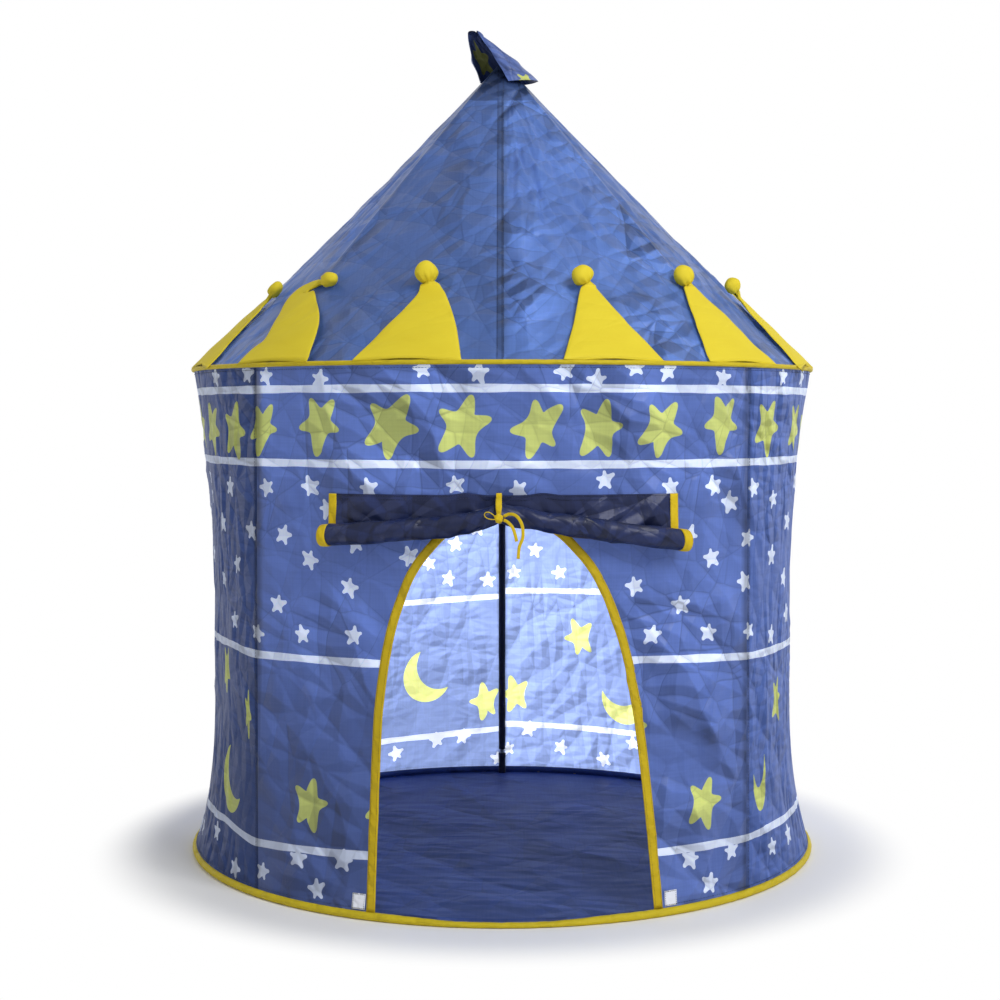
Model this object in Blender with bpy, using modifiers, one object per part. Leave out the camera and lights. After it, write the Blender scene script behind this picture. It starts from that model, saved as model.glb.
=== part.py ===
"""Castle play tent: two sprung hoops, three poles, sewn walls, a conical roof and a crown of stuffed points.

Metres, +Z up. The origin is the middle of the floor's underside, and the doorway faces -Y.
Angles go round the tent from the doorway, positive towards +X.
"""

import math

import bmesh
import bpy
from mathutils import Matrix, Vector
from mathutils.geometry import delaunay_2d_cdt

# Cloth, gaps and drawing steps
cloth_thickness = 0.0012
seat_gap = 0.0003
weld_distance = 0.00003
cutter_overrun = 0.003
sharp_angle = math.radians(40)
ring_steps = 48
rod_sides = 12

# Hoops and the hem sleeves round them
floor_hoop_radius = 0.5205
floor_hem_radius = 0.0060
floor_wire_radius = 0.0025
crown_hoop_radius = 0.5180
crown_hoop_height = 0.8015
crown_hem_radius = 0.0035
crown_wire_radius = 0.0020
hem_slit_half_angle = math.radians(25)
hem_sides = 3
wire_sides = 6

# Poles and their fittings
pole_angles = {"left": math.radians(-45), "right": math.radians(45), "back": math.radians(180)}
pole_radius = 0.0040
pole_inset = 0.011
pole_joint_height = 0.400
ferrule_radius = 0.0055
ferrule_length = 0.060
sleeve_radius = 0.0066
sleeve_bore = 0.0058
sleeve_bottom = 0.050
sleeve_elbow_clearance = 0.0148
pocket_radius = 0.0068
pocket_height = 0.040
pocket_floor = 0.0015
elbow_radius = 0.0062
elbow_leg = 0.034
elbow_bend_radius = 0.012
elbow_socket = 0.018
elbow_bend_steps = 5

# Roof and the hub under its apex
roof_apex_height = 1.3245
roof_sag = 0.009
roof_row_shares = (0, 0.08, 0.2, 0.36, 0.52, 0.7, 0.86, 1)
hub_radius = 0.024
hub_height = 0.036
hub_top_radius = 0.008
hub_socket_radius = 0.010
hub_apex_clearance = 0.0045
seam_tape_width = 0.014
seam_tape_ends_share = (0.03, 0.9)

# Wall
back_waist_depth = 0.047
front_waist_depth = 0.030
waist_height_share = 0.37
waist_power = 2.4
fold_depth = 0.003
fold_count = 12
fold_twist = 5
wall_top_tuck_share = 0.35
wall_rows = 10
wall_point_clearance = 0.019

# Doorway
arch_half_width = 0.209
arch_height = 0.571
arch_taper_share = 0.15
arch_side_power = 2.8
arch_top_power = 4
arch_lean = 0.019
arch_steps = 14
arch_binding_width = 0.013
arch_binding_thickness = 0.0022

# Door cloth, rolled up over the arch
stitch_height = 0.617
stitch_ends = (math.radians(-29.5), math.radians(30.0))
roll_ends = (math.radians(-30.6), math.radians(31.6))
roll_radius = 0.0165
roll_turns = 2.5
roll_pitch = 0.0020
roll_turn_steps = 10
roll_low_left = 0.5545
roll_low_right = 0.5470
roll_high = 0.5920
roll_bow_power = 1.3
flap_stand_off = 0.0007
roll_stand_off = 0.0024
flap_edge_width = 0.013

# Tie over the rolled door cloth, with its tab's ends at corners of the roll's section
tie_angle = math.radians(-0.5)
tie_width = 0.013
tie_thickness = 0.0016
tab_corners = 4
tab_top_swing = math.radians(108)
knot_swing = math.radians(-18)
knot_radius = 0.0065
knot_squash_shares = (1.0, 0.75, 1.15)
knot_columns = 10
knot_rows = 6
loop_radius = 0.0065
loop_squash_share = 0.6
loop_steps = 12
loop_cord_radius = 0.0014
tail_radius = 0.0016
tail_span_steps = 3
# Tie tails as points from the middle of the knot
tail_routes = {
    "tie_tail_long": ((0.0068, 0.0, 0.0024), (0.0150, -0.0035, 0.0060), (0.0245, -0.0070, 0.0035),
                      (0.0320, -0.0090, -0.0080), (0.0335, -0.0090, -0.0250), (0.0285, -0.0080, -0.0400),
                      (0.0270, -0.0070, -0.0560)),
    "tie_tail_short": ((0.0068, 0.0, -0.0024), (0.0125, -0.0030, -0.0052), (0.0190, -0.0055, -0.0125),
                       (0.0225, -0.0065, -0.0215), (0.0250, -0.0060, -0.0320)),
}

# Crown of points
crown_count = 13
crown_first_angle = math.radians(18.1)
crown_front_gap = math.radians(33.3)
crown_base_width = 0.160
crown_length = 0.165
crown_neck_width = 0.015
crown_cloth = 0.0030
crown_ball_radius = 0.0155
crown_seat = 0.0014
crown_lean = 0.042
crown_lean_power = 1.5
crown_sides = 10
crown_row_shares = (0, 0.12, 0.35, 0.6, 0.8, 0.92)
crown_ball_sink_share = 0.9
crown_ball_rows = (-0.62, -0.3, 0.05, 0.4, 0.75, 0.95)

# Pennant folded over the apex
pennant_tip_side = -0.056
pennant_tip_front = -0.004
pennant_tip_rise = 0.0515
pennant_rim_drop = 0.0355
pennant_seat = 0.001
pennant_flare = 0.024
pennant_rim_ends = (math.radians(14), math.radians(282))
pennant_columns = 16
pennant_rows = 4

# White patches at the doorway's feet
patch_width = 0.021
patch_height = 0.022
patch_foot = 0.0145
patch_edge_share = 0.1
patch_thickness = 0.0008
patch_seat = 0.0006

# Colours: linear red, green, blue, then roughness and metallic
wall_blue = ((0.090, 0.125, 0.320), 0.45, 0.0)
roof_blue = ((0.110, 0.180, 0.420), 0.42, 0.0)
mat_blue = ((0.040, 0.065, 0.190), 0.50, 0.0)
door_navy = ((0.022, 0.032, 0.095), 0.35, 0.0)
sleeve_navy = ((0.008, 0.008, 0.022), 0.60, 0.0)
crown_yellow = ((0.800, 0.600, 0.040), 0.55, 0.0)
binding_yellow = ((0.640, 0.460, 0.015), 0.55, 0.0)
patch_white = ((0.720, 0.730, 0.800), 0.60, 0.0)
wire_steel = ((0.450, 0.450, 0.460), 0.35, 1.0)
pole_grey = ((0.180, 0.180, 0.190), 0.40, 0.0)
fitting_black = ((0.020, 0.020, 0.022), 0.45, 0.0)
ferrule_metal = ((0.600, 0.600, 0.620), 0.30, 1.0)

# Sizes that follow from the ones above
step_angle = math.tau / ring_steps
pole_bore = pole_radius + seat_gap
wall_foot = floor_hem_radius * 2 + seat_gap
wall_foot_radius = floor_hoop_radius
wall_top = crown_hoop_height - crown_hem_radius - seat_gap
wall_top_radius = crown_hoop_radius - crown_hem_radius * wall_top_tuck_share
roof_slope = math.atan2(roof_apex_height - crown_hoop_height, crown_hoop_radius)
roof_foot_radius = crown_hoop_radius - (crown_hem_radius + seat_gap) * math.cos(roof_slope)
roof_foot_height = crown_hoop_height + (crown_hem_radius + seat_gap) * math.sin(roof_slope)
roof_length = roof_foot_radius / math.cos(roof_slope)
under_roof = cloth_thickness + seat_gap * 3 + elbow_radius
pole_line_height = roof_apex_height - under_roof / math.cos(roof_slope)
pole_circle_radius = crown_hoop_radius - pole_inset
elbow_corner = pole_line_height - pole_circle_radius * math.tan(roof_slope)
sleeve_top = elbow_corner - elbow_leg - sleeve_elbow_clearance
roll_middle = roll_stand_off + cloth_thickness + roll_radius
pennant_rim_height = roof_apex_height - pennant_rim_drop
pennant_rim_radius = pennant_rim_drop / math.tan(roof_slope) + cloth_thickness + pennant_seat


def start_collections():
    """Empty the scene and make one collection for the tent and one for the cutters."""
    for old in list(bpy.data.objects):
        bpy.data.objects.remove(old, do_unlink=True)
    made = []
    for name in ("play_tent", "cutters"):
        collection = bpy.data.collections.new(name)
        bpy.context.scene.collection.children.link(collection)
        made.append(collection)
    return made


tent, cutters = start_collections()


def finish(obj, look):
    """Give an object its own material from a look of colour, roughness and metallic."""
    colour, roughness, metallic = look
    material = bpy.data.materials.new(obj.name)
    material.use_nodes = True
    shader = material.node_tree.nodes["Principled BSDF"]
    shader.inputs["Base Color"].default_value = (*colour, 1)
    shader.inputs["Roughness"].default_value = roughness
    shader.inputs["Metallic"].default_value = metallic
    obj.data.materials.clear()
    obj.data.materials.append(material)
    return obj


def object_from(name, bm, look=None, collection=None):
    """Turn a bmesh into a named object."""
    mesh = bpy.data.meshes.new(name)
    bm.to_mesh(mesh)
    bm.free()
    obj = bpy.data.objects.new(name, mesh)
    (collection or tent).objects.link(obj)
    if look:
        finish(obj, look)
        mesh.shade_smooth()
        mesh.set_sharp_from_angle(angle=sharp_angle)
    return obj


def thicken(obj, thickness):
    """Give an open sheet its thickness, inwards from the drawn face."""
    solid = obj.modifiers.new("thickness", "SOLIDIFY")
    solid.thickness = thickness
    solid.offset = -1
    solid.use_even_offset = False
    return obj


def cut(obj, cutter):
    """Cut one object with another, which stays as a hidden guide."""
    cutter.hide_render = True
    cutter.display_type = "WIRE"
    boolean = obj.modifiers.new(cutter.name, "BOOLEAN")
    boolean.operation = "DIFFERENCE"
    boolean.object = cutter
    boolean.solver = "EXACT"


def polar(angle, radius, height=0.0):
    """Point at an angle round the tent, at a radius and height."""
    return Vector((radius * math.sin(angle), -radius * math.cos(angle), height))


def on_chord(angle, radius_at, height=0.0):
    """Point on the stepped outline whose corners lie at whole steps round the tent."""
    low = math.floor(angle / step_angle + 1e-6) * step_angle
    share = (angle - low) / step_angle
    start = polar(low, radius_at(low), height)
    end = polar(low + step_angle, radius_at(low + step_angle), height)
    return start.lerp(end, share)


def grid_sheet(name, point_at, columns, rows, thickness, look):
    """Sheet over a grid, bent by point_at(across share, up share), with faces outwards, then thickened."""
    bm = bmesh.new()
    bmesh.ops.create_grid(bm, x_segments=columns, y_segments=rows, size=0.5)
    for vertex in bm.verts:
        vertex.co = point_at(vertex.co.x + 0.5, vertex.co.y + 0.5)
    bmesh.ops.remove_doubles(bm, verts=bm.verts, dist=weld_distance)
    return thicken(object_from(name, bm, look), thickness)


def loft(name, sections, look):
    """Solid through a list of closed sections with equal point counts, flat at both ends."""
    bm = bmesh.new()
    rings = [[bm.verts.new(point) for point in section] for section in sections]
    count = len(sections[0])
    for low, high in zip(rings, rings[1:]):
        for i in range(count):
            j = (i + 1) % count
            bm.faces.new((low[i], low[j], high[j], high[i]))
    bm.faces.new(tuple(reversed(rings[0])))
    bm.faces.new(tuple(rings[-1]))
    bmesh.ops.recalc_face_normals(bm, faces=bm.faces)
    return object_from(name, bm, look)


def turned(name, profile, look, steps=ring_steps, closed=False, place=(0, 0, 0)):
    """Body turned about a vertical axis from (radius, height) points that run down its outer side."""
    bm = bmesh.new()
    points = [bm.verts.new((radius, 0, height)) for radius, height in profile]
    for start, end in zip(points, points[1:]):
        bm.edges.new((start, end))
    if closed:
        bm.edges.new((points[-1], points[0]))
    obj = object_from(name, bm, look)
    screw = obj.modifiers.new("turn", "SCREW")
    screw.steps = steps
    screw.render_steps = steps
    screw.use_merge_vertices = True
    screw.merge_threshold = weld_distance
    obj.location = place
    return obj


def rod(name, start, end, radius, look=None, collection=None):
    """Round bar between two points."""
    run = end - start
    bm = bmesh.new()
    bmesh.ops.create_cone(bm, cap_ends=True, segments=rod_sides, radius1=radius, radius2=radius,
                          depth=run.length)
    obj = object_from(name, bm, look, collection)
    obj.rotation_mode = "QUATERNION"
    obj.rotation_quaternion = run.to_track_quat("Z", "Y")
    obj.location = (start + end) / 2
    return obj


def tube_curve(name, points, radius, resolution=2, cyclic=False):
    """Curve object with a round bevel along a list of points."""
    curve = bpy.data.curves.new(name, "CURVE")
    curve.dimensions = "3D"
    curve.bevel_depth = radius
    curve.bevel_resolution = resolution
    curve.use_fill_caps = not cyclic
    spline = curve.splines.new("POLY")
    spline.points.add(len(points) - 1)
    for target, point in zip(spline.points, points):
        target.co = (*point, 1)
    spline.use_cyclic_u = cyclic
    obj = bpy.data.objects.new(name, curve)
    tent.objects.link(obj)
    return obj


def curve_to_mesh(curve_object, look):
    """Mesh with welded caps in place of a curve object."""
    bpy.context.view_layer.update()
    evaluated = curve_object.evaluated_get(bpy.context.evaluated_depsgraph_get())
    name = curve_object.name
    bm = bmesh.new()
    bm.from_mesh(bpy.data.meshes.new_from_object(evaluated))
    bmesh.ops.remove_doubles(bm, verts=bm.verts, dist=weld_distance)
    bmesh.ops.recalc_face_normals(bm, faces=bm.faces)
    bpy.data.objects.remove(curve_object, do_unlink=True)
    return object_from(name, bm, look)


def smooth_route(points, per_span):
    """Points on a smooth curve through a hand-chosen route."""
    padded = [points[0] * 2 - points[1], *points, points[-1] * 2 - points[-2]]
    made = []
    for a, b, c, d in zip(padded, padded[1:], padded[2:], padded[3:]):
        for i in range(per_span):
            t = i / per_span
            made.append(0.5 * (2 * b + (c - a) * t + (2 * a - 5 * b + 4 * c - d) * t ** 2
                               + (3 * b - a - 3 * c + d) * t ** 3))
    return [*made, points[-1]]


def set_pivot(obj, pivot):
    """Move an object's origin onto its hinge without moving its shape."""
    obj.data.transform(Matrix.Translation(-pivot))
    obj.location = pivot


# Where the cloth lies


def pole_span(angle):
    """Middle and half width of the wall panel that holds an angle."""
    side = pole_angles["right"]
    turned_angle = math.remainder(angle, math.tau)
    if abs(turned_angle) <= side:
        return 0.0, side
    half = (math.pi - side) / 2
    return math.copysign(side + half, turned_angle), half


def wall_radius(angle, height):
    """Radius of the wall's outer face: straight at the poles and drawn in between them."""
    share = (height - wall_foot) / (wall_top - wall_foot)
    straight = wall_foot_radius + (wall_top_radius - wall_foot_radius) * share
    middle, half = pole_span(angle)
    across = min(1, abs(math.remainder(angle, math.tau) - middle) / half)
    slack = 1 - across ** 2
    reach = waist_height_share if share < waist_height_share else 1 - waist_height_share
    drawn = max(0, 1 - (abs(share - waist_height_share) / reach) ** waist_power)
    depth = back_waist_depth if middle else front_waist_depth
    fold = fold_depth * math.sin(fold_count * angle + fold_twist * share)
    return straight - slack * drawn * (depth + fold)


def wall_point(angle, height, out=0.0):
    """Point on the wall's outer face, or out from it."""
    return on_chord(angle, lambda at: wall_radius(at, height) + out, height)


def roof_point(angle, share, out=0.0):
    """Point on the roof's outer face at a share of the way from hoop to apex, or out from it."""
    middle, half = pole_span(angle)
    slack = 1 - min(1, abs(math.remainder(angle, math.tau) - middle) / half) ** 2
    low = max(row for row in roof_row_shares if row <= share)
    high = min(row for row in roof_row_shares if row >= share)
    blend = (share - low) / (high - low) if high > low else 0
    sag_low = math.sin(math.pi * low)
    sag_high = math.sin(math.pi * high)
    drop = roof_sag * slack * (sag_low + (sag_high - sag_low) * blend)
    normal = out - drop
    radius = roof_foot_radius * (1 - share) + normal * math.sin(roof_slope)
    height = roof_foot_height + share * roof_length * math.sin(roof_slope) + normal * math.cos(roof_slope)
    return radius, height


def on_roof(angle, share, out=0.0):
    """Point over the roof, on the stepped outline."""
    height = roof_point(angle, share, out)[1]
    return on_chord(angle, lambda at: roof_point(at, share, out)[0], height)


def arch_half(height):
    """Half width of the doorway at a height."""
    share = min(1, height / arch_height)
    round_top = (1 - share ** arch_top_power) ** (1 / arch_side_power)
    return arch_half_width * (1 - arch_taper_share * share) * round_top


def arch_line(offset):
    """Doorway outline as (x, height) from left foot to right foot, moved outwards by an offset."""
    heights = [arch_height * math.sin(math.pi / 2 * i / arch_steps) for i in range(arch_steps + 1)]
    points = []
    for side in (-1, 1):
        run = heights if side < 0 else heights[-2::-1]
        for height in run:
            lean = arch_lean * (1 - height / arch_height)
            points.append(Vector((lean + side * arch_half(height), height)))
    moved = []
    for i, point in enumerate(points):
        ahead = points[min(i + 1, len(points) - 1)]
        behind = points[max(i - 1, 0)]
        along = (ahead - behind).normalized()
        if i in (0, len(points) - 1):
            along = Vector((0, 1)) if i == 0 else Vector((0, -1))
        moved.append(point + Vector((-along.y, along.x)) * offset)
    return moved


def angle_at(x, height):
    """Angle round the tent at which the front wall has this x."""
    angle = 0.0
    for _ in range(12):
        angle = math.asin(x / wall_radius(angle, height))
    return angle


# Hoops and hems


def hem_profile(hoop_radius, hoop_height, radius):
    """Open round section with its slit facing the inside of the tent."""
    start = math.pi - hem_slit_half_angle
    sweep = math.tau - 2 * hem_slit_half_angle
    points = []
    for i in range(hem_sides * 2 + 1):
        turn = start - sweep * i / (hem_sides * 2)
        points.append((hoop_radius + radius * math.cos(turn), hoop_height + radius * math.sin(turn)))
    return points


def add_hoop(name, hoop_radius, hoop_height, hem_radius, wire_radius):
    """Spring wire hoop inside its cloth sleeve."""
    hem = turned(f"{name}_hem", hem_profile(hoop_radius, hoop_height, hem_radius), binding_yellow)
    thicken(hem, hem_radius - wire_radius - seat_gap)
    section = []
    for i in range(wire_sides):
        turn = math.pi / 2 - math.tau * i / wire_sides
        section.append((hoop_radius + wire_radius * math.cos(turn), hoop_height + wire_radius * math.sin(turn)))
    turned(f"{name}_hoop_wire", section, wire_steel, closed=True)


# Poles and fittings


def add_wall_pole(side, angle):
    """Lower and upper pole, their ferrule, the cloth sleeve and the pocket at the floor."""
    foot = cloth_thickness + seat_gap + pocket_floor + seat_gap
    top = elbow_corner - elbow_leg + elbow_socket
    at = polar(angle, pole_circle_radius)

    def up(height):
        return at + Vector((0, 0, height))

    rod(f"wall_pole_lower_{side}", up(foot), up(pole_joint_height - seat_gap / 2), pole_radius, pole_grey)
    rod(f"wall_pole_upper_{side}", up(pole_joint_height + seat_gap / 2), up(top - seat_gap), pole_radius, pole_grey)
    half = ferrule_length / 2
    ring = [(ferrule_radius, half), (ferrule_radius, -half), (pole_bore, -half), (pole_bore, half)]
    turned(f"pole_ferrule_{side}", ring, ferrule_metal, rod_sides, True, up(pole_joint_height))
    ring = [(sleeve_radius, sleeve_top), (sleeve_radius, sleeve_bottom),
            (sleeve_bore, sleeve_bottom), (sleeve_bore, sleeve_top)]
    turned(f"wall_sleeve_{side}", ring, sleeve_navy, rod_sides, True, at)
    low = cloth_thickness + seat_gap
    cup = [(0, low + pocket_floor), (pole_bore, low + pocket_floor), (pole_bore, low + pocket_height),
           (pocket_radius, low + pocket_height), (pocket_radius, low), (0, low)]
    turned(f"pole_pocket_{side}", cup, sleeve_navy, rod_sides, place=at)


def roof_line(angle, radius):
    """Point on the straight line that a roof pole follows."""
    return polar(angle, radius, pole_line_height - radius * math.tan(roof_slope))


def add_elbow(side, angle):
    """Bent connector from the wall pole to the roof pole, with a blind socket at each end."""
    corner = roof_line(angle, pole_circle_radius)
    down = Vector((0, 0, -1))
    inwards = (roof_line(angle, 0) - corner).normalized()
    bend = math.pi - down.angle(inwards)
    tangent = elbow_bend_radius * math.tan(bend / 2)
    start = corner + down * elbow_leg
    end = corner + inwards * elbow_leg
    middle = corner + (down + inwards).normalized() * (elbow_bend_radius / math.cos(bend / 2))
    first = corner + down * tangent - middle
    last = corner + inwards * tangent - middle
    arc = []
    for i in range(elbow_bend_steps + 1):
        way = first.normalized().slerp(last.normalized(), i / elbow_bend_steps)
        arc.append(middle + way * elbow_bend_radius)
    elbow = curve_to_mesh(tube_curve(f"elbow_{side}", [start, *arc, end], elbow_radius), fitting_black)
    for tag, mouth, way in (("wall", start, -down), ("roof", end, -inwards)):
        outside = mouth - way * cutter_overrun
        socket = rod(f"elbow_socket_{tag}_{side}", outside, mouth + way * elbow_socket, pole_bore,
                     collection=cutters)
        cut(elbow, socket)
    return corner + inwards * (elbow_leg - elbow_socket + seat_gap)


def add_roof_frame():
    """Elbows, roof poles and the hub that joins them under the apex."""
    under_apex = roof_apex_height - cloth_thickness / math.cos(roof_slope)
    top = under_apex - hub_top_radius * math.tan(roof_slope) - hub_apex_clearance
    shoulder = top - (hub_radius - hub_top_radius) * math.tan(roof_slope)
    profile = [(0, top), (hub_top_radius, top), (hub_radius, shoulder), (hub_radius, top - hub_height),
               (0, top - hub_height)]
    hub = turned("apex_hub", profile, fitting_black, rod_sides * 2)
    for side, angle in pole_angles.items():
        low_end = add_elbow(side, angle)
        rod(f"roof_pole_{side}", low_end, roof_line(angle, hub_socket_radius + seat_gap), pole_radius, pole_grey)
        socket = rod(f"hub_socket_{side}", roof_line(angle, hub_socket_radius), roof_line(angle, hub_radius * 2),
                     pole_bore, collection=cutters)
        cut(hub, socket)


# Floor, walls and roof


def add_floor():
    """Round floor mat inside the floor hem."""
    above = floor_hem_radius - cloth_thickness
    rim = floor_hoop_radius - math.sqrt(floor_hem_radius ** 2 - above ** 2) - seat_gap
    edge = [(0, cloth_thickness), (rim, cloth_thickness), (rim, 0), (0, 0)]
    turned("floor_mat", edge, mat_blue)


def add_back_wall(side, start, end):
    """One of the two back panels, between two poles."""
    seam = seat_gap / crown_hoop_radius

    def point_at(across, up):
        angle = start + seam + (end - start - 2 * seam) * across
        return wall_point(angle, wall_foot + (wall_top - wall_foot) * up)

    columns = round((end - start) / step_angle)
    grid_sheet(f"wall_back_{side}", point_at, columns, wall_rows, cloth_thickness, wall_blue)


def add_front_wall():
    """Front panel with the arched doorway cut in it."""
    seam = seat_gap / crown_hoop_radius
    side = pole_angles["right"] - seam
    rows = [wall_foot + (wall_top - wall_foot) * i / wall_rows for i in range(wall_rows + 1)]
    edge = [(side, height) for height in rows]
    columns = round(side * 2 / step_angle)
    top = [(side - step_angle * i, wall_top) for i in range(1, columns)]
    left = [(-side, height) for height in reversed(rows)]
    opening = []
    for x, height in arch_line(arch_binding_width / 2 + seat_gap):
        height = max(height, wall_foot)
        opening.append((angle_at(x, height), height))
    right_foot = [(angle, wall_foot) for angle in (step_angle * 4, step_angle * 5)]
    left_foot = [(-angle, wall_foot) for angle in (step_angle * 5, step_angle * 4)]
    outline = [*edge, *top, *left, *left_foot, *opening, *right_foot]
    inside = []
    for i in range(1, wall_rows):
        for k in range(1, columns):
            inside.append((-side + step_angle * k, rows[i]))
    flat = [Vector((angle * crown_hoop_radius, height)) for angle, height in outline]
    spare = [Vector((angle * crown_hoop_radius, height)) for angle, height in inside]
    spare = [point for point in spare if min((point - other).length for other in flat) > wall_point_clearance]
    count = len(flat)
    loop = [(i, (i + 1) % count) for i in range(count)]
    points, _, faces, *_ = delaunay_2d_cdt(flat + spare, loop, [], 1, weld_distance / 10)
    bm = bmesh.new()
    corners = [bm.verts.new(wall_point(point.x / crown_hoop_radius, point.y)) for point in points]
    for face in faces:
        bm.faces.new([corners[i] for i in face])
    thicken(object_from("wall_front", bm, wall_blue), cloth_thickness)


def add_roof():
    """Conical roof and the tape under its front seam."""
    rows = len(roof_row_shares) - 1

    def point_at(across, up):
        return on_roof(across * math.tau, roof_row_shares[round(up * rows)])

    grid_sheet("roof_cone", point_at, ring_steps, rows, cloth_thickness, roof_blue)
    low, high = seam_tape_ends_share

    def tape_at(across, up):
        share = low + (high - low) * up
        radius = roof_foot_radius * (1 - share)
        angle = (across - 0.5) * seam_tape_width / radius
        return on_roof(angle, share, -cloth_thickness - seat_gap * 2)

    grid_sheet("roof_seam_tape", tape_at, 2, rows * 2, cloth_thickness, door_navy)


def add_arch_binding():
    """Yellow tape all round the arch, edge to edge with the wall."""
    half = arch_binding_width / 2
    outer = arch_line(half)
    inner = arch_line(-half)
    sections = []
    for out, back in zip(outer, inner):
        section = []
        for (x, height), lift in ((out, 1), (back, 1), (back, -1), (out, -1)):
            height = max(height, wall_foot)
            shift = (lift * arch_binding_thickness - cloth_thickness) / 2
            section.append(wall_point(angle_at(x, height), height, shift))
        sections.append(section)
    loft("arch_binding", sections, binding_yellow)


# Door cloth


def roll_height(angle):
    """Height of the roll's middle: bowed up where the tie holds it."""
    low = roll_low_left if angle < tie_angle else roll_low_right
    end = roll_ends[0] if angle < tie_angle else roll_ends[1]
    across = abs((angle - tie_angle) / (end - tie_angle))
    return roll_high + (low - roll_high) * across ** roll_bow_power


def flap_profile(angle):
    """Door cloth's section as (outwards, height): down from the stitch line, then rolled up outwards."""
    middle = roll_height(angle)
    points = [(flap_stand_off + cloth_thickness, stitch_height)]
    for i in range(round(roll_turns * roll_turn_steps) + 1):
        turn = i / roll_turn_steps
        radius = roll_radius - roll_pitch * turn
        swing = math.pi + math.tau * turn
        points.append((roll_middle + radius * math.cos(swing), middle + radius * math.sin(swing)))
    return points


def corner_stations(start, end):
    """Angles from start to end with a stop at every corner of the stepped outline."""
    first = math.ceil(start / step_angle + 1e-6)
    last = math.floor(end / step_angle - 1e-6)
    return [start, *(step_angle * k for k in range(first, last + 1)), end]


def flap_point(stations, roll_stations, station, row):
    """Point on the door cloth: the roll reaches a little further round than the stitch line."""
    angle = stations[station] if row == 0 else roll_stations[station]
    out, height = flap_profile(roll_stations[station])[row]
    return on_chord(angle, lambda at: wall_radius(at, stitch_height) + out, height)


def add_door_cloth():
    """Rolled door cloth and the binding along each of its side edges."""
    rows = len(flap_profile(0)) - 1
    edge = flap_edge_width / crown_hoop_radius
    seam = seat_gap / crown_hoop_radius
    stitch_start, stitch_end = stitch_ends
    roll_start, roll_end = roll_ends
    spans = {
        "door_cloth": ((stitch_start + edge + seam, stitch_end - edge - seam),
                       (roll_start + edge + seam, roll_end - edge - seam), door_navy),
        "door_edge_left": ((stitch_start, stitch_start + edge), (roll_start, roll_start + edge), binding_yellow),
        "door_edge_right": ((stitch_end - edge, stitch_end), (roll_end - edge, roll_end), binding_yellow),
    }
    made = []
    for name, (stitch_span, roll_span, look) in spans.items():
        stations = corner_stations(*stitch_span)
        roll_stations = [roll_span[0], *stations[1:-1], roll_span[1]]
        columns = len(stations) - 1

        def point_at(across, up, stations=stations, roll_stations=roll_stations, columns=columns):
            return flap_point(stations, roll_stations, round(across * columns), round((1 - up) * rows))

        made.append(grid_sheet(name, point_at, columns, rows, cloth_thickness, look))
    return made


def over_roll(angle, swing, out):
    """Point out from the roll's drawn face, which runs straight between the corners of the outline."""
    low = math.floor(angle / step_angle + 1e-6) * step_angle
    reach = roll_radius - roll_pitch * (math.pi + swing) / math.tau + out
    ends = []
    for corner in (low, low + step_angle):
        radius = wall_radius(corner, stitch_height) + roll_middle + reach * math.cos(swing)
        ends.append(polar(corner, radius, roll_height(corner) + reach * math.sin(swing)))
    return ends[0].lerp(ends[1], (angle - low) / step_angle)


def add_tie():
    """Tab over the roll, the knot on it, one loop and two loose tails."""
    half = tie_width / 2 / crown_hoop_radius
    lift = cloth_thickness + seat_gap * 2 + tie_thickness
    corner_turn = math.tau / roll_turn_steps

    def tab_at(across, up):
        swing = tab_top_swing - corner_turn * round((1 - up) * tab_corners)
        return over_roll(tie_angle + half * (2 * across - 1), swing, lift)

    made = [grid_sheet("tie_tab", tab_at, 2, tab_corners, tie_thickness, binding_yellow)]
    wide, deep, tall = (knot_radius * share for share in knot_squash_shares)
    knot_depth = math.hypot(deep * math.cos(knot_swing), tall * math.sin(knot_swing))
    centre = over_roll(tie_angle, knot_swing, lift + knot_depth)
    bm = bmesh.new()
    bmesh.ops.create_uvsphere(bm, u_segments=knot_columns, v_segments=knot_rows, radius=knot_radius)
    bmesh.ops.scale(bm, vec=knot_squash_shares, verts=bm.verts)
    bmesh.ops.translate(bm, vec=centre, verts=bm.verts)
    made.append(object_from("tie_knot", bm, binding_yellow))
    loop_centre = centre - Vector((wide + seat_gap + loop_cord_radius + loop_radius, 0, 0))
    ring = []
    for i in range(loop_steps):
        turn = math.tau * i / loop_steps
        ring.append(loop_centre + Vector((math.cos(turn), 0, math.sin(turn) * loop_squash_share)) * loop_radius)
    made.append(curve_to_mesh(tube_curve("tie_loop", ring, loop_cord_radius, 1, True), binding_yellow))
    for name, route in tail_routes.items():
        points = smooth_route([centre + Vector(point) for point in route], tail_span_steps)
        made.append(curve_to_mesh(tube_curve(name, points, tail_radius), binding_yellow))
    return made


def add_door():
    """Door cloth, its bindings and the tie on one pivot at the stitch line."""
    pivot = bpy.data.objects.new("door_pivot", None)
    pivot.location = polar(0, wall_radius(0, stitch_height) + flap_stand_off, stitch_height)
    tent.objects.link(pivot)
    for piece in [*add_door_cloth(), *add_tie()]:
        piece.parent = pivot
        piece.matrix_parent_inverse = Matrix.Translation(-pivot.location)


# Crown, pennant and patches


def crown_angles():
    """Middle of each crown point, round from the first one right of the front seam."""
    pitch = (math.tau - crown_front_gap) / (crown_count - 1)
    return [crown_first_angle + pitch * i for i in range(crown_count)]


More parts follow.
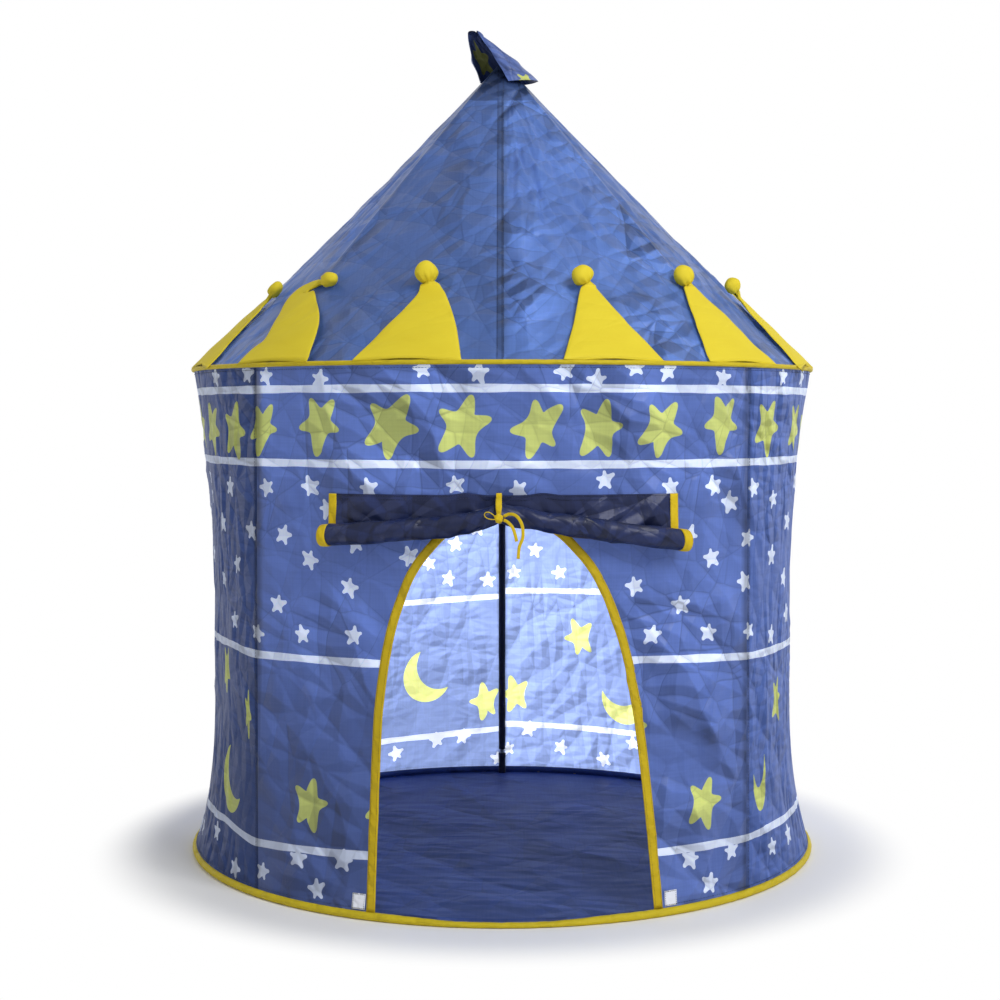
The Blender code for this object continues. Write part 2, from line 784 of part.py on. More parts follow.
def add_crown_point(number, angle):
    """Stuffed point with a ball at its tip, lying on the roof and hinged along its base."""
    side = -1 if 0 < math.remainder(angle, math.tau) else 1
    neck_share = crown_row_shares[-1]
    sections = []
    for share in crown_row_shares:
        along = share / neck_share
        width = crown_base_width + (crown_neck_width - crown_base_width) * along
        thick = crown_cloth * (1 + along)
        sections.append((share * crown_length, width / 2, thick / 2, crown_seat + thick / 2))
    ball_middle = crown_length * neck_share + crown_ball_radius * crown_ball_sink_share
    for turn in crown_ball_rows:
        swell = math.cos(turn * math.pi / 2)
        reach = crown_ball_radius * math.sin(turn * math.pi / 2)
        radius = crown_ball_radius * swell
        sections.append((ball_middle + reach, radius, radius, crown_seat + crown_ball_radius))
    rings = []
    total = crown_length + crown_ball_radius
    for distance, half_width, half_thick, lift in sections:
        share = distance / roof_length
        radius = roof_foot_radius * (1 - share)
        lean = side * crown_lean * (distance / total) ** crown_lean_power
        ring = []
        for i in range(crown_sides):
            turn = math.tau * i / crown_sides
            across = lean + half_width * math.cos(turn)
            out = lift + half_thick * math.sin(turn)
            ring.append(on_roof(angle + across / radius, share, out))
        rings.append(ring)
    point = loft(f"crown_point_{number:02d}", rings, crown_yellow)
    set_pivot(point, polar(angle, *roof_point(angle, 0, crown_seat + crown_cloth)))


def add_pennant():
    """Pennant wrapped over the apex like a cowl, open at the front left."""
    tip = Vector((pennant_tip_side, pennant_tip_front, roof_apex_height + pennant_tip_rise))
    start, end = pennant_rim_ends

    def point_at(across, up):
        angle = start + (end - start) * across
        reach = pennant_rim_radius + pennant_flare * max(0, math.sin(angle))
        rim = polar(angle, reach, pennant_rim_height)
        return rim.lerp(tip, up)

    pennant = grid_sheet("pennant", point_at, pennant_columns, pennant_rows, cloth_thickness, roof_blue)
    set_pivot(pennant, polar(math.pi, pennant_rim_radius, pennant_rim_height))


def add_patches():
    """Blank white patches on the wall beside the doorway's feet."""
    line = arch_line(arch_binding_width / 2)
    for side, foot, way in (("left", line[0], -1), ("right", line[-1], 1)):
        edge = angle_at(foot.x, wall_foot)
        turn = patch_width / floor_hoop_radius * way

        def point_at(across, up, edge=edge, turn=turn, way=way):
            share = across if way > 0 else 1 - across
            height = patch_foot + patch_height * up
            return wall_point(edge + turn * (share + patch_edge_share), height, patch_seat + patch_thickness)

        grid_sheet(f"patch_{side}", point_at, 2, 2, patch_thickness, patch_white)


add_hoop("floor", floor_hoop_radius, floor_hem_radius, floor_hem_radius, floor_wire_radius)
add_hoop("crown", crown_hoop_radius, crown_hoop_height, crown_hem_radius, crown_wire_radius)
for side_name, side_angle in pole_angles.items():
    add_wall_pole(side_name, side_angle)
add_roof_frame()
add_floor()
add_back_wall("right", pole_angles["right"], pole_angles["back"])
add_back_wall("left", pole_angles["back"], math.tau + pole_angles["left"])
add_front_wall()
add_roof()
add_arch_binding()
add_door()
for order, crown_angle in enumerate(crown_angles(), 1):
    add_crown_point(order, crown_angle)
add_pennant()
add_patches()
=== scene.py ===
"""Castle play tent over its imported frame: printed walls, roof, crown, rolled door cloth and pennant.

Metres, +Z up, doorway towards -Y. Angles go round the tent from the doorway, positive towards +X.
A cloth's flat pattern is in metres too: u round the tent or across the cloth, v up it.
"""

import logging
import math
import random
from dataclasses import dataclass, field
from enum import Enum
from typing import Callable, Iterable, Sequence

import bpy
import numpy as np
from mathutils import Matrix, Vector
from mathutils.geometry import delaunay_2d_cdt


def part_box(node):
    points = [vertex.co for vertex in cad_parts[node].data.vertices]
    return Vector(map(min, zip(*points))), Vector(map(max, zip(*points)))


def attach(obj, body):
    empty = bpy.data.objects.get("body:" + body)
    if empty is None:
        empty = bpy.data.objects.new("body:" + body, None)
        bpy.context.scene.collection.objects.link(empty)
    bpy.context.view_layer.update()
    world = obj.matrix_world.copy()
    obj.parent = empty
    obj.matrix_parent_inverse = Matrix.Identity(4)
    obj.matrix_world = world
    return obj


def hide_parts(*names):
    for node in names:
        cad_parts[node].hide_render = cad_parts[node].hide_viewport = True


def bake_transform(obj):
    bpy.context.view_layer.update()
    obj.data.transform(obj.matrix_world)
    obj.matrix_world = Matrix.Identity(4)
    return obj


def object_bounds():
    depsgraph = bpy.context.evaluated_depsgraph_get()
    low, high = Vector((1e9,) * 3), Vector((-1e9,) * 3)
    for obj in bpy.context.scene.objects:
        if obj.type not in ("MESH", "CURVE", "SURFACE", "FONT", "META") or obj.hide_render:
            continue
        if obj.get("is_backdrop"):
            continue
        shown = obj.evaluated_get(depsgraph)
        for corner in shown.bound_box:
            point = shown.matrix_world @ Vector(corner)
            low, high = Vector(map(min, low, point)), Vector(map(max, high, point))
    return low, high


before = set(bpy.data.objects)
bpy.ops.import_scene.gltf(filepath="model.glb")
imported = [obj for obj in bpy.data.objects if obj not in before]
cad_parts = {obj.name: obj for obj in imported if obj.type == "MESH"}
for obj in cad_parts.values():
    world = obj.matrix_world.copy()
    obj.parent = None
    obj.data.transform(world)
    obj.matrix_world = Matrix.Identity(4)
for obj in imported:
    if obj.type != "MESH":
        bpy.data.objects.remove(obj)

log = logging.getLogger("play_tent")

Colour = tuple[float, float, float]
Flat = tuple[float, float]
Point = tuple[float, float, float]
Tree = bpy.types.NodeTree
Socket = bpy.types.NodeSocket
Material = bpy.types.Material
Object = bpy.types.Object
Array = np.ndarray

FLAT_MAP = "flat"
FLOAT = "NodeSocketFloat"


# Places and curves


def degrees(*values: float) -> tuple[float, ...]:
    """Angles given in degrees, in radians."""
    return tuple(math.radians(value) for value in values)


def smoothstep(low: float, high: float, value: Array) -> Array:
    """0 below low, 1 above high and smooth between them."""
    share = np.clip((value - low) / (high - low), 0.0, 1.0)
    return share * share * (3 - 2 * share)


def turned(angle: Array) -> Array:
    """An angle brought to between half a turn back and half a turn on."""
    return np.remainder(np.asarray(angle, float) + math.pi, math.tau) - math.pi


def polar(angle: Array, radius: Array, height: Array) -> Array:
    """Points at angles round the tent, distances from its axis and heights, as rows of x, y and z."""
    angle, radius, height = np.broadcast_arrays(angle, radius, height)
    return np.stack([radius * np.sin(angle), -radius * np.cos(angle), height], axis=-1)


def smooth_route(points: Sequence[Sequence[float]], per_span: int) -> Array:
    """Points on a smooth curve through given ones.

    Args:
        points: the points to pass through.
        per_span: how many steps each span gets.

    Returns:
        The curve's points as rows.
    """
    given = np.asarray(points, float)
    ends = [given[0] * 2 - given[1], *given, given[-1] * 2 - given[-2]]
    made = []
    for a, b, c, d in zip(ends, ends[1:], ends[2:], ends[3:]):
        for step in range(per_span):
            t = step / per_span
            made.append(0.5 * (2 * b + (c - a) * t + (2 * a - 5 * b + 4 * c - d) * t ** 2
                               + (3 * b - a - 3 * c + d) * t ** 3))
    return np.array([*made, given[-1]])


def unit(vectors: Array) -> Array:
    """Rows brought to length 1."""
    return vectors / np.maximum(np.linalg.norm(vectors, axis=-1, keepdims=True), 1e-12)


def full_turn(count: int) -> Array:
    """Angles of one turn in equal steps."""
    return np.linspace(0, math.tau, count, endpoint=False)


def run_along(line: Array) -> Array:
    """Distance run along a line at each of its points."""
    return np.concatenate([[0], np.cumsum(np.linalg.norm(np.diff(line, axis=0), axis=1))])


def lattice(across: Array, along: Array) -> Array:
    """Flat places of a grid: one row for each place along, one column for each place across."""
    return np.stack(np.broadcast_arrays(across[None, :], along[:, None]), axis=-1)


@dataclass(frozen=True)
class TentForm:
    """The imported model's own sizes and curves, drawn without its steps."""

    floor_radius: float
    crown_radius: float
    crown_height: float
    apex_height: float
    wall_foot: float
    wall_top: float
    floor_hem_radius: float = 0.0060
    crown_hem_radius: float = 0.0035
    cloth: float = 0.0012
    gap: float = 0.0003
    pole_side: float = math.radians(45)
    back_depth: float = 0.047
    front_depth: float = 0.030
    waist_share: float = 0.37
    waist_power: float = 2.4
    fold_depth: float = 0.003
    fold_count: float = 12
    fold_twist: float = 5
    top_tuck_share: float = 0.35
    roof_sag: float = 0.009
    arch_half_width: float = 0.209
    arch_height: float = 0.571
    arch_taper: float = 0.15
    arch_side_power: float = 2.8
    arch_top_power: float = 4
    arch_lean: float = 0.019
    arch_lift: float = 0.009
    arch_lift_from: float = 0.93

    @classmethod
    def from_frame(cls) -> "TentForm":
        """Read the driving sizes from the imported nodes' boxes."""
        floor_hem, crown_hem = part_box("floor_hem"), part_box("crown_hem")
        crown_wire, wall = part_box("crown_hoop_wire"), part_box("wall_front")
        return cls(
            floor_radius=floor_hem[1].x - cls.floor_hem_radius,
            crown_radius=crown_hem[1].x - cls.crown_hem_radius,
            crown_height=(crown_wire[0].z + crown_wire[1].z) / 2,
            apex_height=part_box("roof_cone")[1].z,
            wall_foot=wall[0].z,
            wall_top=wall[1].z,
        )

    @property
    def wall_top_radius(self) -> float:
        """Radius of the wall where it meets the crown hoop."""
        return self.crown_radius - self.crown_hem_radius * self.top_tuck_share

    @property
    def slope(self) -> float:
        """Slope of the roof."""
        return math.atan2(self.apex_height - self.crown_height, self.crown_radius)

    @property
    def roof_foot_radius(self) -> float:
        """Radius of the roof's lower edge."""
        return self.crown_radius - (self.crown_hem_radius + self.gap) * math.cos(self.slope)

    @property
    def roof_foot_height(self) -> float:
        """Height of the roof's lower edge."""
        return self.crown_height + (self.crown_hem_radius + self.gap) * math.sin(self.slope)

    @property
    def roof_length(self) -> float:
        """Slant length of the roof, hoop to apex."""
        return self.roof_foot_radius / math.cos(self.slope)

    def panel_share(self, angle: Array) -> tuple[Array, Array]:
        """Where an angle lies in its wall panel.

        Args:
            angle: angles round the tent.

        Returns:
            0 at the panel's middle to 1 at its poles, and whether it is a back panel.
        """
        at = turned(angle)
        back = np.abs(at) > self.pole_side
        half = (math.pi - self.pole_side) / 2
        middle = np.where(back, np.copysign(self.pole_side + half, at), 0.0)
        across = np.abs(at - middle) / np.where(back, half, self.pole_side)
        return np.minimum(across, 1.0), back

    def wall_radius(self, angle: Array, height: Array) -> Array:
        """Radius of the wall's outer face, straight at the poles and drawn in between them.

        Args:
            angle: angles round the tent.
            height: heights over the ground.

        Returns:
            The radius at each.
        """
        share = (np.asarray(height, float) - self.wall_foot) / (self.wall_top - self.wall_foot)
        straight = self.floor_radius + (self.wall_top_radius - self.floor_radius) * share
        across, back = self.panel_share(angle)
        slack = 1 - across ** 2
        reach = np.where(share < self.waist_share, self.waist_share, 1 - self.waist_share)
        drawn = 1 - (np.abs(share - self.waist_share) / reach) ** self.waist_power
        fold = self.fold_depth * np.sin(self.fold_count * turned(angle) + self.fold_twist * share)
        depth = np.where(back, self.back_depth, self.front_depth) + fold
        return straight - slack * np.maximum(drawn, 0.0) * depth

    def roof(self, angle: Array, share: Array, out: Array = 0.0) -> Array:
        """Points on the roof's outer face, or out from it.

        Args:
            angle: angles round the tent.
            share: 0 at the hoop to 1 at the apex.
            out: distance out from the cloth.

        Returns:
            Points as rows.
        """
        across, _ = self.panel_share(angle)
        normal = out - self.roof_sag * (1 - across ** 2) * np.sin(math.pi * np.asarray(share, float))
        radius = self.roof_foot_radius * (1 - share) + normal * math.sin(self.slope)
        rise = share * self.roof_length * math.sin(self.slope)
        return polar(angle, radius, self.roof_foot_height + rise + normal * math.cos(self.slope))

    def roof_normal(self, angle: Array) -> Array:
        """Outward direction of the roof at an angle."""
        return polar(angle, math.sin(self.slope), math.cos(self.slope))

    def arch_half(self, height: Array) -> Array:
        """Half width of the doorway at a height."""
        share = np.minimum(1.0, height / self.arch_height)
        round_top = (1 - share ** self.arch_top_power) ** (1 / self.arch_side_power)
        return self.arch_half_width * (1 - self.arch_taper * share) * round_top

    def arch_line(self, offset: float, steps: int) -> Array:
        """Doorway outline from left foot to right foot.

        Args:
            offset: how far the line is moved outwards.
            steps: stations on each side.

        Returns:
            Rows of x and height.
        """
        rise = self.arch_height * np.sin(np.linspace(0, math.pi / 2, steps + 1))
        lean = self.arch_lean * (1 - rise / self.arch_height)
        half = self.arch_half(rise)
        left = np.stack([lean - half, rise], axis=-1)
        right = np.stack([lean + half, rise], axis=-1)[-2::-1]
        line = np.concatenate([left, right])
        line[:, 1] += self.arch_lift * smoothstep(self.arch_lift_from, 1.0, line[:, 1] / self.arch_height)
        along = np.gradient(line, axis=0)
        along[0], along[-1] = (0, 1), (0, -1)
        along = unit(along)
        return line + np.stack([-along[:, 1], along[:, 0]], axis=-1) * offset

    def angle_at(self, x: Array, height: Array) -> Array:
        """Angle at which the front wall has this x."""
        rounds = 12
        angle = np.zeros_like(np.asarray(x, float))
        for _ in range(rounds):
            angle = np.arcsin(x / self.wall_radius(angle, height))
        return angle


# Creases


@dataclass(frozen=True)
class Sowing:
    """A patch of a flat pattern over which fold lines are sown, with their ranges."""

    count: int
    u: Flat
    v: Flat
    length: Flat
    tilt: Flat
    height: float
    width: Flat


class Creases:
    """Sharp fold lines pressed into a cloth, as heights over its flat pattern."""

    least_share: float = 0.35
    bow: float = 0.08
    far_flank: float = 1.9
    end_fade: float = 5
    sharpness: float = 1.25

    def __init__(self, seed: int, sowings: Iterable[Sowing], chosen: Iterable[Sequence[float]] = ()) -> None:
        """Sow the lines.

        Args:
            seed: what the sowing is drawn from.
            sowings: patches of the pattern with the ranges of their lines.
            chosen: further lines as u, v, u, v, height and width.
        """
        rng = random.Random(seed)
        self.lines: list[tuple[float, ...]] = [(*line, 0.0) for line in chosen]
        for sowing in sowings:
            for _ in range(sowing.count):
                u, v = rng.uniform(*sowing.u), rng.uniform(*sowing.v)
                tilt, length = rng.uniform(*sowing.tilt), rng.uniform(*sowing.length)
                run = (math.cos(tilt) * length / 2, math.sin(tilt) * length / 2)
                height = sowing.height * rng.uniform(self.least_share, 1.0) * rng.choice((-1, 1))
                width = rng.uniform(*sowing.width)
                bow = rng.uniform(-self.bow, self.bow) * length
                self.lines.append((u - run[0], v - run[1], u + run[0], v + run[1], height, width, bow))

    def heights(self, u: Array, v: Array) -> Array:
        """Height of the cloth over its flat pattern.

        Args:
            u: places across the pattern.
            v: places up the pattern.

        Returns:
            Heights, positive outwards.
        """
        total = np.zeros(np.broadcast(u, v).shape)
        for u0, v0, u1, v1, height, width, bow in self.lines:
            run = math.hypot(u1 - u0, v1 - v0)
            du, dv = (u1 - u0) / run, (v1 - v0) / run
            along = ((u - u0) * du + (v - v0) * dv) / run
            side = (v - v0) * du - (u - u0) * dv - bow * np.sin(math.pi * np.clip(along, 0, 1))
            flank = np.where(side > 0, width, width * self.far_flank)
            fade = np.clip(np.minimum(along, 1 - along) * self.end_fade, 0, 1)
            total += height * fade * np.maximum(0.0, 1 - np.abs(side) / flank) ** self.sharpness
        return total


def ripples(seed: int, u: Array, v: Array, size: float, waves: int = 9) -> Array:
    """Soft uneven waves of about unit height.

    Args:
        seed: what the waves are drawn from.
        u: places across the pattern.
        v: places up the pattern.
        size: usual wave length.
        waves: how many waves are summed.

    Returns:
        Heights.
    """
    rng = random.Random(seed)
    total = np.zeros(np.broadcast(u, v).shape)
    for _ in range(waves):
        turn, length = rng.uniform(0, math.tau), size * rng.uniform(0.6, 1.8)
        phase = rng.uniform(0, math.tau)
        total += np.sin((u * math.cos(turn) + v * math.sin(turn)) * math.tau / length + phase)
    return total / math.sqrt(waves)


class WallRelief:
    """Where the wall's cloth really lies, with its folds and creases."""

    wave: float = 0.0006
    wave_length: float = 0.11
    held_beside: float = 0.035
    held_below: float = 0.030
    door_low: Flat = (0.50, 0.54)
    door_high: Flat = (0.650, 0.622)
    door_sides: Flat = degrees(37, 33)
    door_calm: float = 0.9

    def __init__(self, form: TentForm) -> None:
        """Sow the creases of the front panel and of the two back panels."""
        self.form = form
        radius = form.floor_radius
        side = radius * form.pole_side
        steep, slant = degrees(70, 110), degrees(-75, -35)
        flatter, any_way = degrees(-25, 25), degrees(0, 180)
        self.front = Creases(11, (
            Sowing(26, (-side, -0.05), (0.30, 0.76), (0.06, 0.22), slant, 0.0026, (0.008, 0.018)),
            Sowing(20, (-side, 0.0), (0.05, 0.42), (0.08, 0.24), slant, 0.0015, (0.010, 0.022)),
            Sowing(34, (0.0, side), (0.60, 0.78), (0.05, 0.18), flatter, 0.0030, (0.007, 0.016)),
            Sowing(40, (0.14, side), (0.28, 0.64), (0.05, 0.17), any_way, 0.0032, (0.007, 0.017)),
            Sowing(20, (0.06, side), (0.58, 0.78), (0.06, 0.16), slant, 0.0030, (0.007, 0.016)),
            Sowing(22, (0.20, side), (0.05, 0.34), (0.06, 0.22), any_way, 0.0016, (0.010, 0.022)),
            Sowing(12, (-side, 0.1), (0.60, 0.78), (0.06, 0.2), any_way, 0.0018, (0.010, 0.022)),
        ))
        far = radius * math.pi
        backs = []
        for way in (-1, 1):
            near = sorted((way * side, way * (side + 0.42)))
            rest = sorted((way * (side + 0.34), way * far))
            backs.append(Creases(29 + way, (
                Sowing(30, tuple(near), (0.06, 0.74), (0.10, 0.30), steep, 0.0022, (0.006, 0.011)),
                Sowing(20, tuple(near), (0.05, 0.76), (0.05, 0.16), any_way, 0.0014, (0.008, 0.016)),
                Sowing(60, tuple(rest), (0.05, 0.76), (0.07, 0.24), any_way, 0.0024, (0.008, 0.020)),
                Sowing(16, tuple(rest), (0.05, 0.76), (0.12, 0.34), steep, 0.0030, (0.010, 0.020)),
            )))
        self.back_left, self.back_right = backs

    def height(self, angle: Array, height: Array) -> Array:
        """How far the cloth stands out from the tent's form.

        Args:
            angle: angles round the tent.
            height: heights over the ground.

        Returns:
            Distances outwards.
        """
        form = self.form
        at = turned(angle)
        u = at * form.floor_radius
        across, back = form.panel_share(at)
        raw = np.where(back, 0.0, self.front.heights(u, height))
        raw = raw + np.where(at < -form.pole_side, self.back_left.heights(u, height), 0.0)
        raw = raw + np.where(at > form.pole_side, self.back_right.heights(u, height), 0.0)
        raw = raw + self.wave * ripples(5, u, height, self.wave_length)
        to_pole = (1 - across) * np.where(back, (math.pi - form.pole_side) / 2, form.pole_side)
        held = smoothstep(0.0, self.held_beside, to_pole * form.floor_radius)
        held = held * smoothstep(0.0, self.held_beside, height - form.wall_foot)
        held = held * smoothstep(0.0, self.held_below, form.wall_top - height)
        under_door = smoothstep(*self.door_low, height) * smoothstep(*self.door_high, height)
        under_door = under_door * smoothstep(*self.door_sides, np.abs(at))
        return raw * held * (1 - self.door_calm * under_door)

    def point(self, angle: Array, height: Array, out: Array = 0.0) -> Array:
        """Points on the creased wall, or out from it."""
        radius = self.form.wall_radius(angle, height) + self.height(angle, height) + out
        return polar(angle, radius, height)


# Prints


class Ink(Enum):
    """What covers a face of a printed cloth, in the order of its material slots."""

    GROUND = 0
    WHITE = 1
    YELLOW = 2


@dataclass(frozen=True)
class Motif:
    """One printed shape on a flat pattern."""

    ink: Ink
    outline: tuple[Flat, ...]


def rounded(corners: Sequence[Flat], times: int) -> list[Flat]:
    """Cut the corners of a closed outline until it is smooth.

    Args:
        corners: the outline's points.
        times: how often they are cut.

    Returns:
        The smoother outline.
    """
    for _ in range(times):
        cut = []
        for (u0, v0), (u1, v1) in zip(corners, [*corners[1:], corners[0]]):
            cut += [
                (u0 * 0.75 + u1 * 0.25, v0 * 0.75 + v1 * 0.25),
                (u0 * 0.25 + u1 * 0.75, v0 * 0.25 + v1 * 0.75)]
        corners = cut
    return list(corners)


def star(ink: Ink, middle: Flat, arms: Sequence[Flat], narrow: float = 1.0, hollow: float = 0.52) -> Motif:
    """Plump star with uneven arms, each broad at its root and rounded at its tip.

    Args:
        ink: what it is printed in.
        middle: its middle on the pattern.
        arms: direction in degrees and reach of each arm, turning one way.
        narrow: its width against its height.
        hollow: depth between two arms against their reach.

    Returns:
        The star.
    """
    corners = []
    big = arms[0][1] > 0.03
    tip, root, root_share = 5.5 if big else 8.5, 22, 0.61
    for (turn, reach), (after, reach_after) in zip(arms, [*arms[1:], (arms[0][0] + 360, arms[0][1])]):
        for swing, share in ((-root, root_share), (-tip, 1.0), (tip, 1.0), (root, root_share)):
            corners.append((math.radians(turn + swing), reach * share))
        corners.append((math.radians((turn + after) / 2), (reach + reach_after) / 2 * hollow))
    flat = [
        (middle[0] + math.cos(turn) * far * narrow, middle[1] + math.sin(turn) * far)
        for turn, far in corners]
    return Motif(ink, tuple(rounded(flat, 2 if big else 1)))


def uneven_arms(reach: float, tilt: float, rng: random.Random) -> list[Flat]:
    """Direction in degrees and reach of the five arms of a hand-drawn star."""
    return [(tilt + 72 * arm + rng.uniform(-8, 8), reach * rng.uniform(0.88, 1.22)) for arm in range(5)]


def moon(ink: Ink, middle: Flat, radius: float, belly: float, narrow: float = 1.0, opening: float = 2.0,
         thick: float = 0.72) -> Motif:
    """Crescent with rounded tips.

    Args:
        ink: what it is printed in.
        middle: middle of its outer circle.
        radius: radius of its outer circle.
        belly: direction of its thickest part.
        narrow: its width against its height.
        opening: angle from the belly to each tip.
        thick: thickness of the belly against the radius.

    Returns:
        The crescent.
    """
    tip = (radius * math.cos(opening), radius * math.sin(opening))
    inner = radius * (1 - thick)
    shift = (radius ** 2 - inner ** 2) / (2 * (tip[0] - inner))
    hollow = inner - shift
    half = math.atan2(tip[1], tip[0] - shift)
    outer = [(radius * math.cos(t), radius * math.sin(t)) for t in np.linspace(-opening, opening, 22)]
    back = [(shift + hollow * math.cos(t), hollow * math.sin(t)) for t in np.linspace(half, -half, 16)[1:-1]]
    cos, sin = math.cos(belly), math.sin(belly)
    flat = [
        (middle[0] + (u * cos - v * sin) * narrow, middle[1] + u * sin + v * cos)
        for u, v in [*outer, *back]]
    return Motif(ink, tuple(rounded(flat, 1)))


@dataclass(frozen=True)
class DrawnStar:
    """A star given one by one: degrees and height of its middle, and its arms as degrees and millimetres."""

    at: float
    height: float
    arms: tuple[Flat, ...]
    narrow: float = 1.0


@dataclass(frozen=True)
class WallPrint:
    """The walls' print: stripes, a band of big stars, small stars and moons, by degrees and height."""

    stripe_height: float = 0.0115
    big_reach: float = 0.0390
    small_reach: float = 0.0152
    moon_radius: float = 0.0530
    front_draw: float = 0.987
    high_stripes: tuple[float, ...] = (0.765, 0.657)
    middle_stripe: tuple[Flat, ...] = (
        (-180, 0.360), (-159, 0.353), (-110, 0.362), (-68.5, 0.370), (-55, 0.373), (-49.6, 0.369),
        (-22, 0.369), (22.4, 0.373), (35.4, 0.370), (47.5, 0.365), (59, 0.363), (75, 0.358), (120, 0.368),
        (157, 0.376), (180, 0.371))
    low_stripe: tuple[Flat, ...] = ((-180, 0.089), (-164, 0.079), (-152, 0.076), (-110, 0.088), (-68, 0.095),
                                    (-57, 0.094), (-46.5, 0.083), (-38, 0.086), (-23, 0.090), (23, 0.092),
                                    (46.7, 0.090), (54.5, 0.092), (70, 0.089), (110, 0.092), (147, 0.096),
                                    (180, 0.099))
    big_star_height: float = 0.708
    drawn_stars: tuple[DrawnStar, ...] = (
        DrawnStar(-64.2, 0.707, ((-150, 38), (-85, 44), (-15, 37), (50, 40), (105, 41))),
        DrawnStar(-53.4, 0.705, ((-128, 45), (-72, 48), (-8, 37), (72, 45), (142, 37))),
        DrawnStar(-44.2, 0.709, ((-151, 34), (-104, 45), (-7, 31), (55, 41), (113, 34))),
        DrawnStar(-31.6, 0.716, ((-168, 38), (-98, 50), (-18, 36), (50, 43), (114, 39))),
        DrawnStar(-18.5, 0.711, ((-148, 48), (-97, 48), (-7, 44), (56, 54), (132, 43))),
        DrawnStar(-6.4, 0.711, ((-135, 50), (-72, 46), (15, 44), (72, 47), (145, 41))),
        DrawnStar(5.8, 0.709, ((-174, 41), (-108, 46), (-45, 36), (42, 48), (97, 40))),
        DrawnStar(16.2, 0.707, ((-128, 47), (-69, 42), (10, 34), (77, 44), (136, 40))),
        DrawnStar(27.0, 0.708, ((-151, 44), (-96, 43), (-10, 38), (56, 45), (120, 39))),
        DrawnStar(39.4, 0.718, ((-168, 37), (-95, 50), (-18, 35), (56, 40), (113, 39))),
        DrawnStar(52.3, 0.710, ((-150, 45), (-86, 48), (-4, 40), (61, 44), (127, 41))),
        DrawnStar(66.4, 0.706, ((-146, 44), (-84, 40), (-8, 40), (58, 44), (122, 42))),
        DrawnStar(-34.3, 0.154, ((-128, 36), (-76, 42), (9, 32), (80, 40), (135, 36))),
        DrawnStar(36.2, 0.155, ((-135, 39), (-78, 42), (6, 34), (74, 39), (131, 36))),
        DrawnStar(-60.6, 0.329, ((-140, 38), (-89, 38), (-20, 34), (61, 40), (121, 38)), 0.62),
        DrawnStar(-49.2, 0.275, ((-140, 30), (-80, 40), (-10, 30), (75, 38), (140, 32)), 0.42),
        DrawnStar(60.0, 0.281, ((-146, 40), (-60, 40), (5, 36), (66, 40), (130, 38)), 0.8),
        DrawnStar(21.0, 0.277, ((0, 39), (72, 30), (144, 30), (216, 30), (288, 30))),
        DrawnStar(-19.9, 0.163, ((-150, 38), (-95, 40), (-30, 36), (40, 38), (110, 38))),
        DrawnStar(161.8, 0.282, ((-133, 38), (-80, 36), (-6, 35), (64, 41), (131, 39))),
        DrawnStar(-176.2, 0.146, ((-126, 33), (-79, 40), (0, 33), (80, 40), (137, 36))),
        DrawnStar(177.0, 0.160, ((-128, 35), (-68, 39), (0, 32), (74, 40), (132, 36))),
        DrawnStar(86.0, 0.170, ((-140, 38), (-75, 40), (0, 35), (66, 42), (134, 38))),
        DrawnStar(-86.0, 0.150, ((-138, 38), (-70, 42), (4, 35), (76, 40), (142, 38))))
    moons: tuple[tuple[float, ...], ...] = (
        (-56.5, 0.163, 219, 0.8), (50.6, 0.176, -75, 0.42), (-162.4, 0.203, -39, 1),
        (150.5, 0.166, -100, 1))
    white_stars: tuple[Flat, ...] = (
        (-60.2, 0.786), (-48.2, 0.789), (-43.2, 0.785), (-31.2, 0.779), (-12.8, 0.792), (-3.8, 0.786),
        (10.0, 0.789), (15.4, 0.776), (21.9, 0.795), (27.8, 0.790), (39.4, 0.781), (57.6, 0.786),
        (68.6, 0.786), (-43.2, 0.620), (-33.8, 0.622), (-22.7, 0.622), (-30.5, 0.592), (-47.4, 0.554),
        (-39.7, 0.551), (-34.3, 0.516), (-26.6, 0.478), (-40.9, 0.447), (-35.8, 0.405), (-25.7, 0.408),
        (-45.7, 0.401), (-7.8, 0.628), (2.6, 0.621), (17.2, 0.635), (-15.8, 0.524), (-25.2, 0.544),
        (29.2, 0.623), (37.7, 0.623), (41.8, 0.598), (47.6, 0.617), (56.1, 0.599), (33.1, 0.552),
        (37.5, 0.518), (45.9, 0.544), (55.8, 0.511), (22.9, 0.481), (31.5, 0.451), (45.1, 0.479),
        (26.3, 0.408), (37.2, 0.407), (46.4, 0.404), (56.4, 0.388), (-80.0, 0.040), (-62.9, 0.068),
        (-53.2, 0.031), (-44.4, 0.042), (-36.4, 0.073), (-27.4, 0.079), (-32.1, 0.032), (33.2, 0.076),
        (42.0, 0.076), (37.0, 0.035), (54.8, 0.061), (63.2, 0.064), (-56.0, 0.618), (-60.5, 0.560),
        (-53.5, 0.500), (-62.0, 0.470), (-55.0, 0.412), (-70.5, 0.600), (66.0, 0.560), (63.5, 0.470),
        (72.0, 0.620), (67.0, 0.410), (-167.7, 0.399), (-176.8, 0.393), (177.3, 0.410), (172.5, 0.456),
        (166.8, 0.410), (-169.4, 0.468), (-163.0, 0.430), (-174.5, 0.500), (160.5, 0.455), (155.0, 0.405),
        (166.0, 0.505), (-161.0, 0.500), (-155.6, 0.048), (-165.0, 0.070), (-171.0, 0.074), (-179.1, 0.027),
        (178.6, 0.048), (174.0, 0.089), (166.6, 0.055), (156.6, 0.035), (149.0, 0.075))
    band_from: float = 0.7
    band_pitch: float = 12
    drawn_within: float = 76
    unseen: tuple[Flat, ...] = ((78, 146), (-150, -76))
    unseen_pitch: float = 9
    unseen_scatter: float = 1.5
    unseen_stars: tuple[Flat, ...] = ((22, 0.24), (44, 0.17), (62, 0.27))
    unseen_narrow: float = 0.85
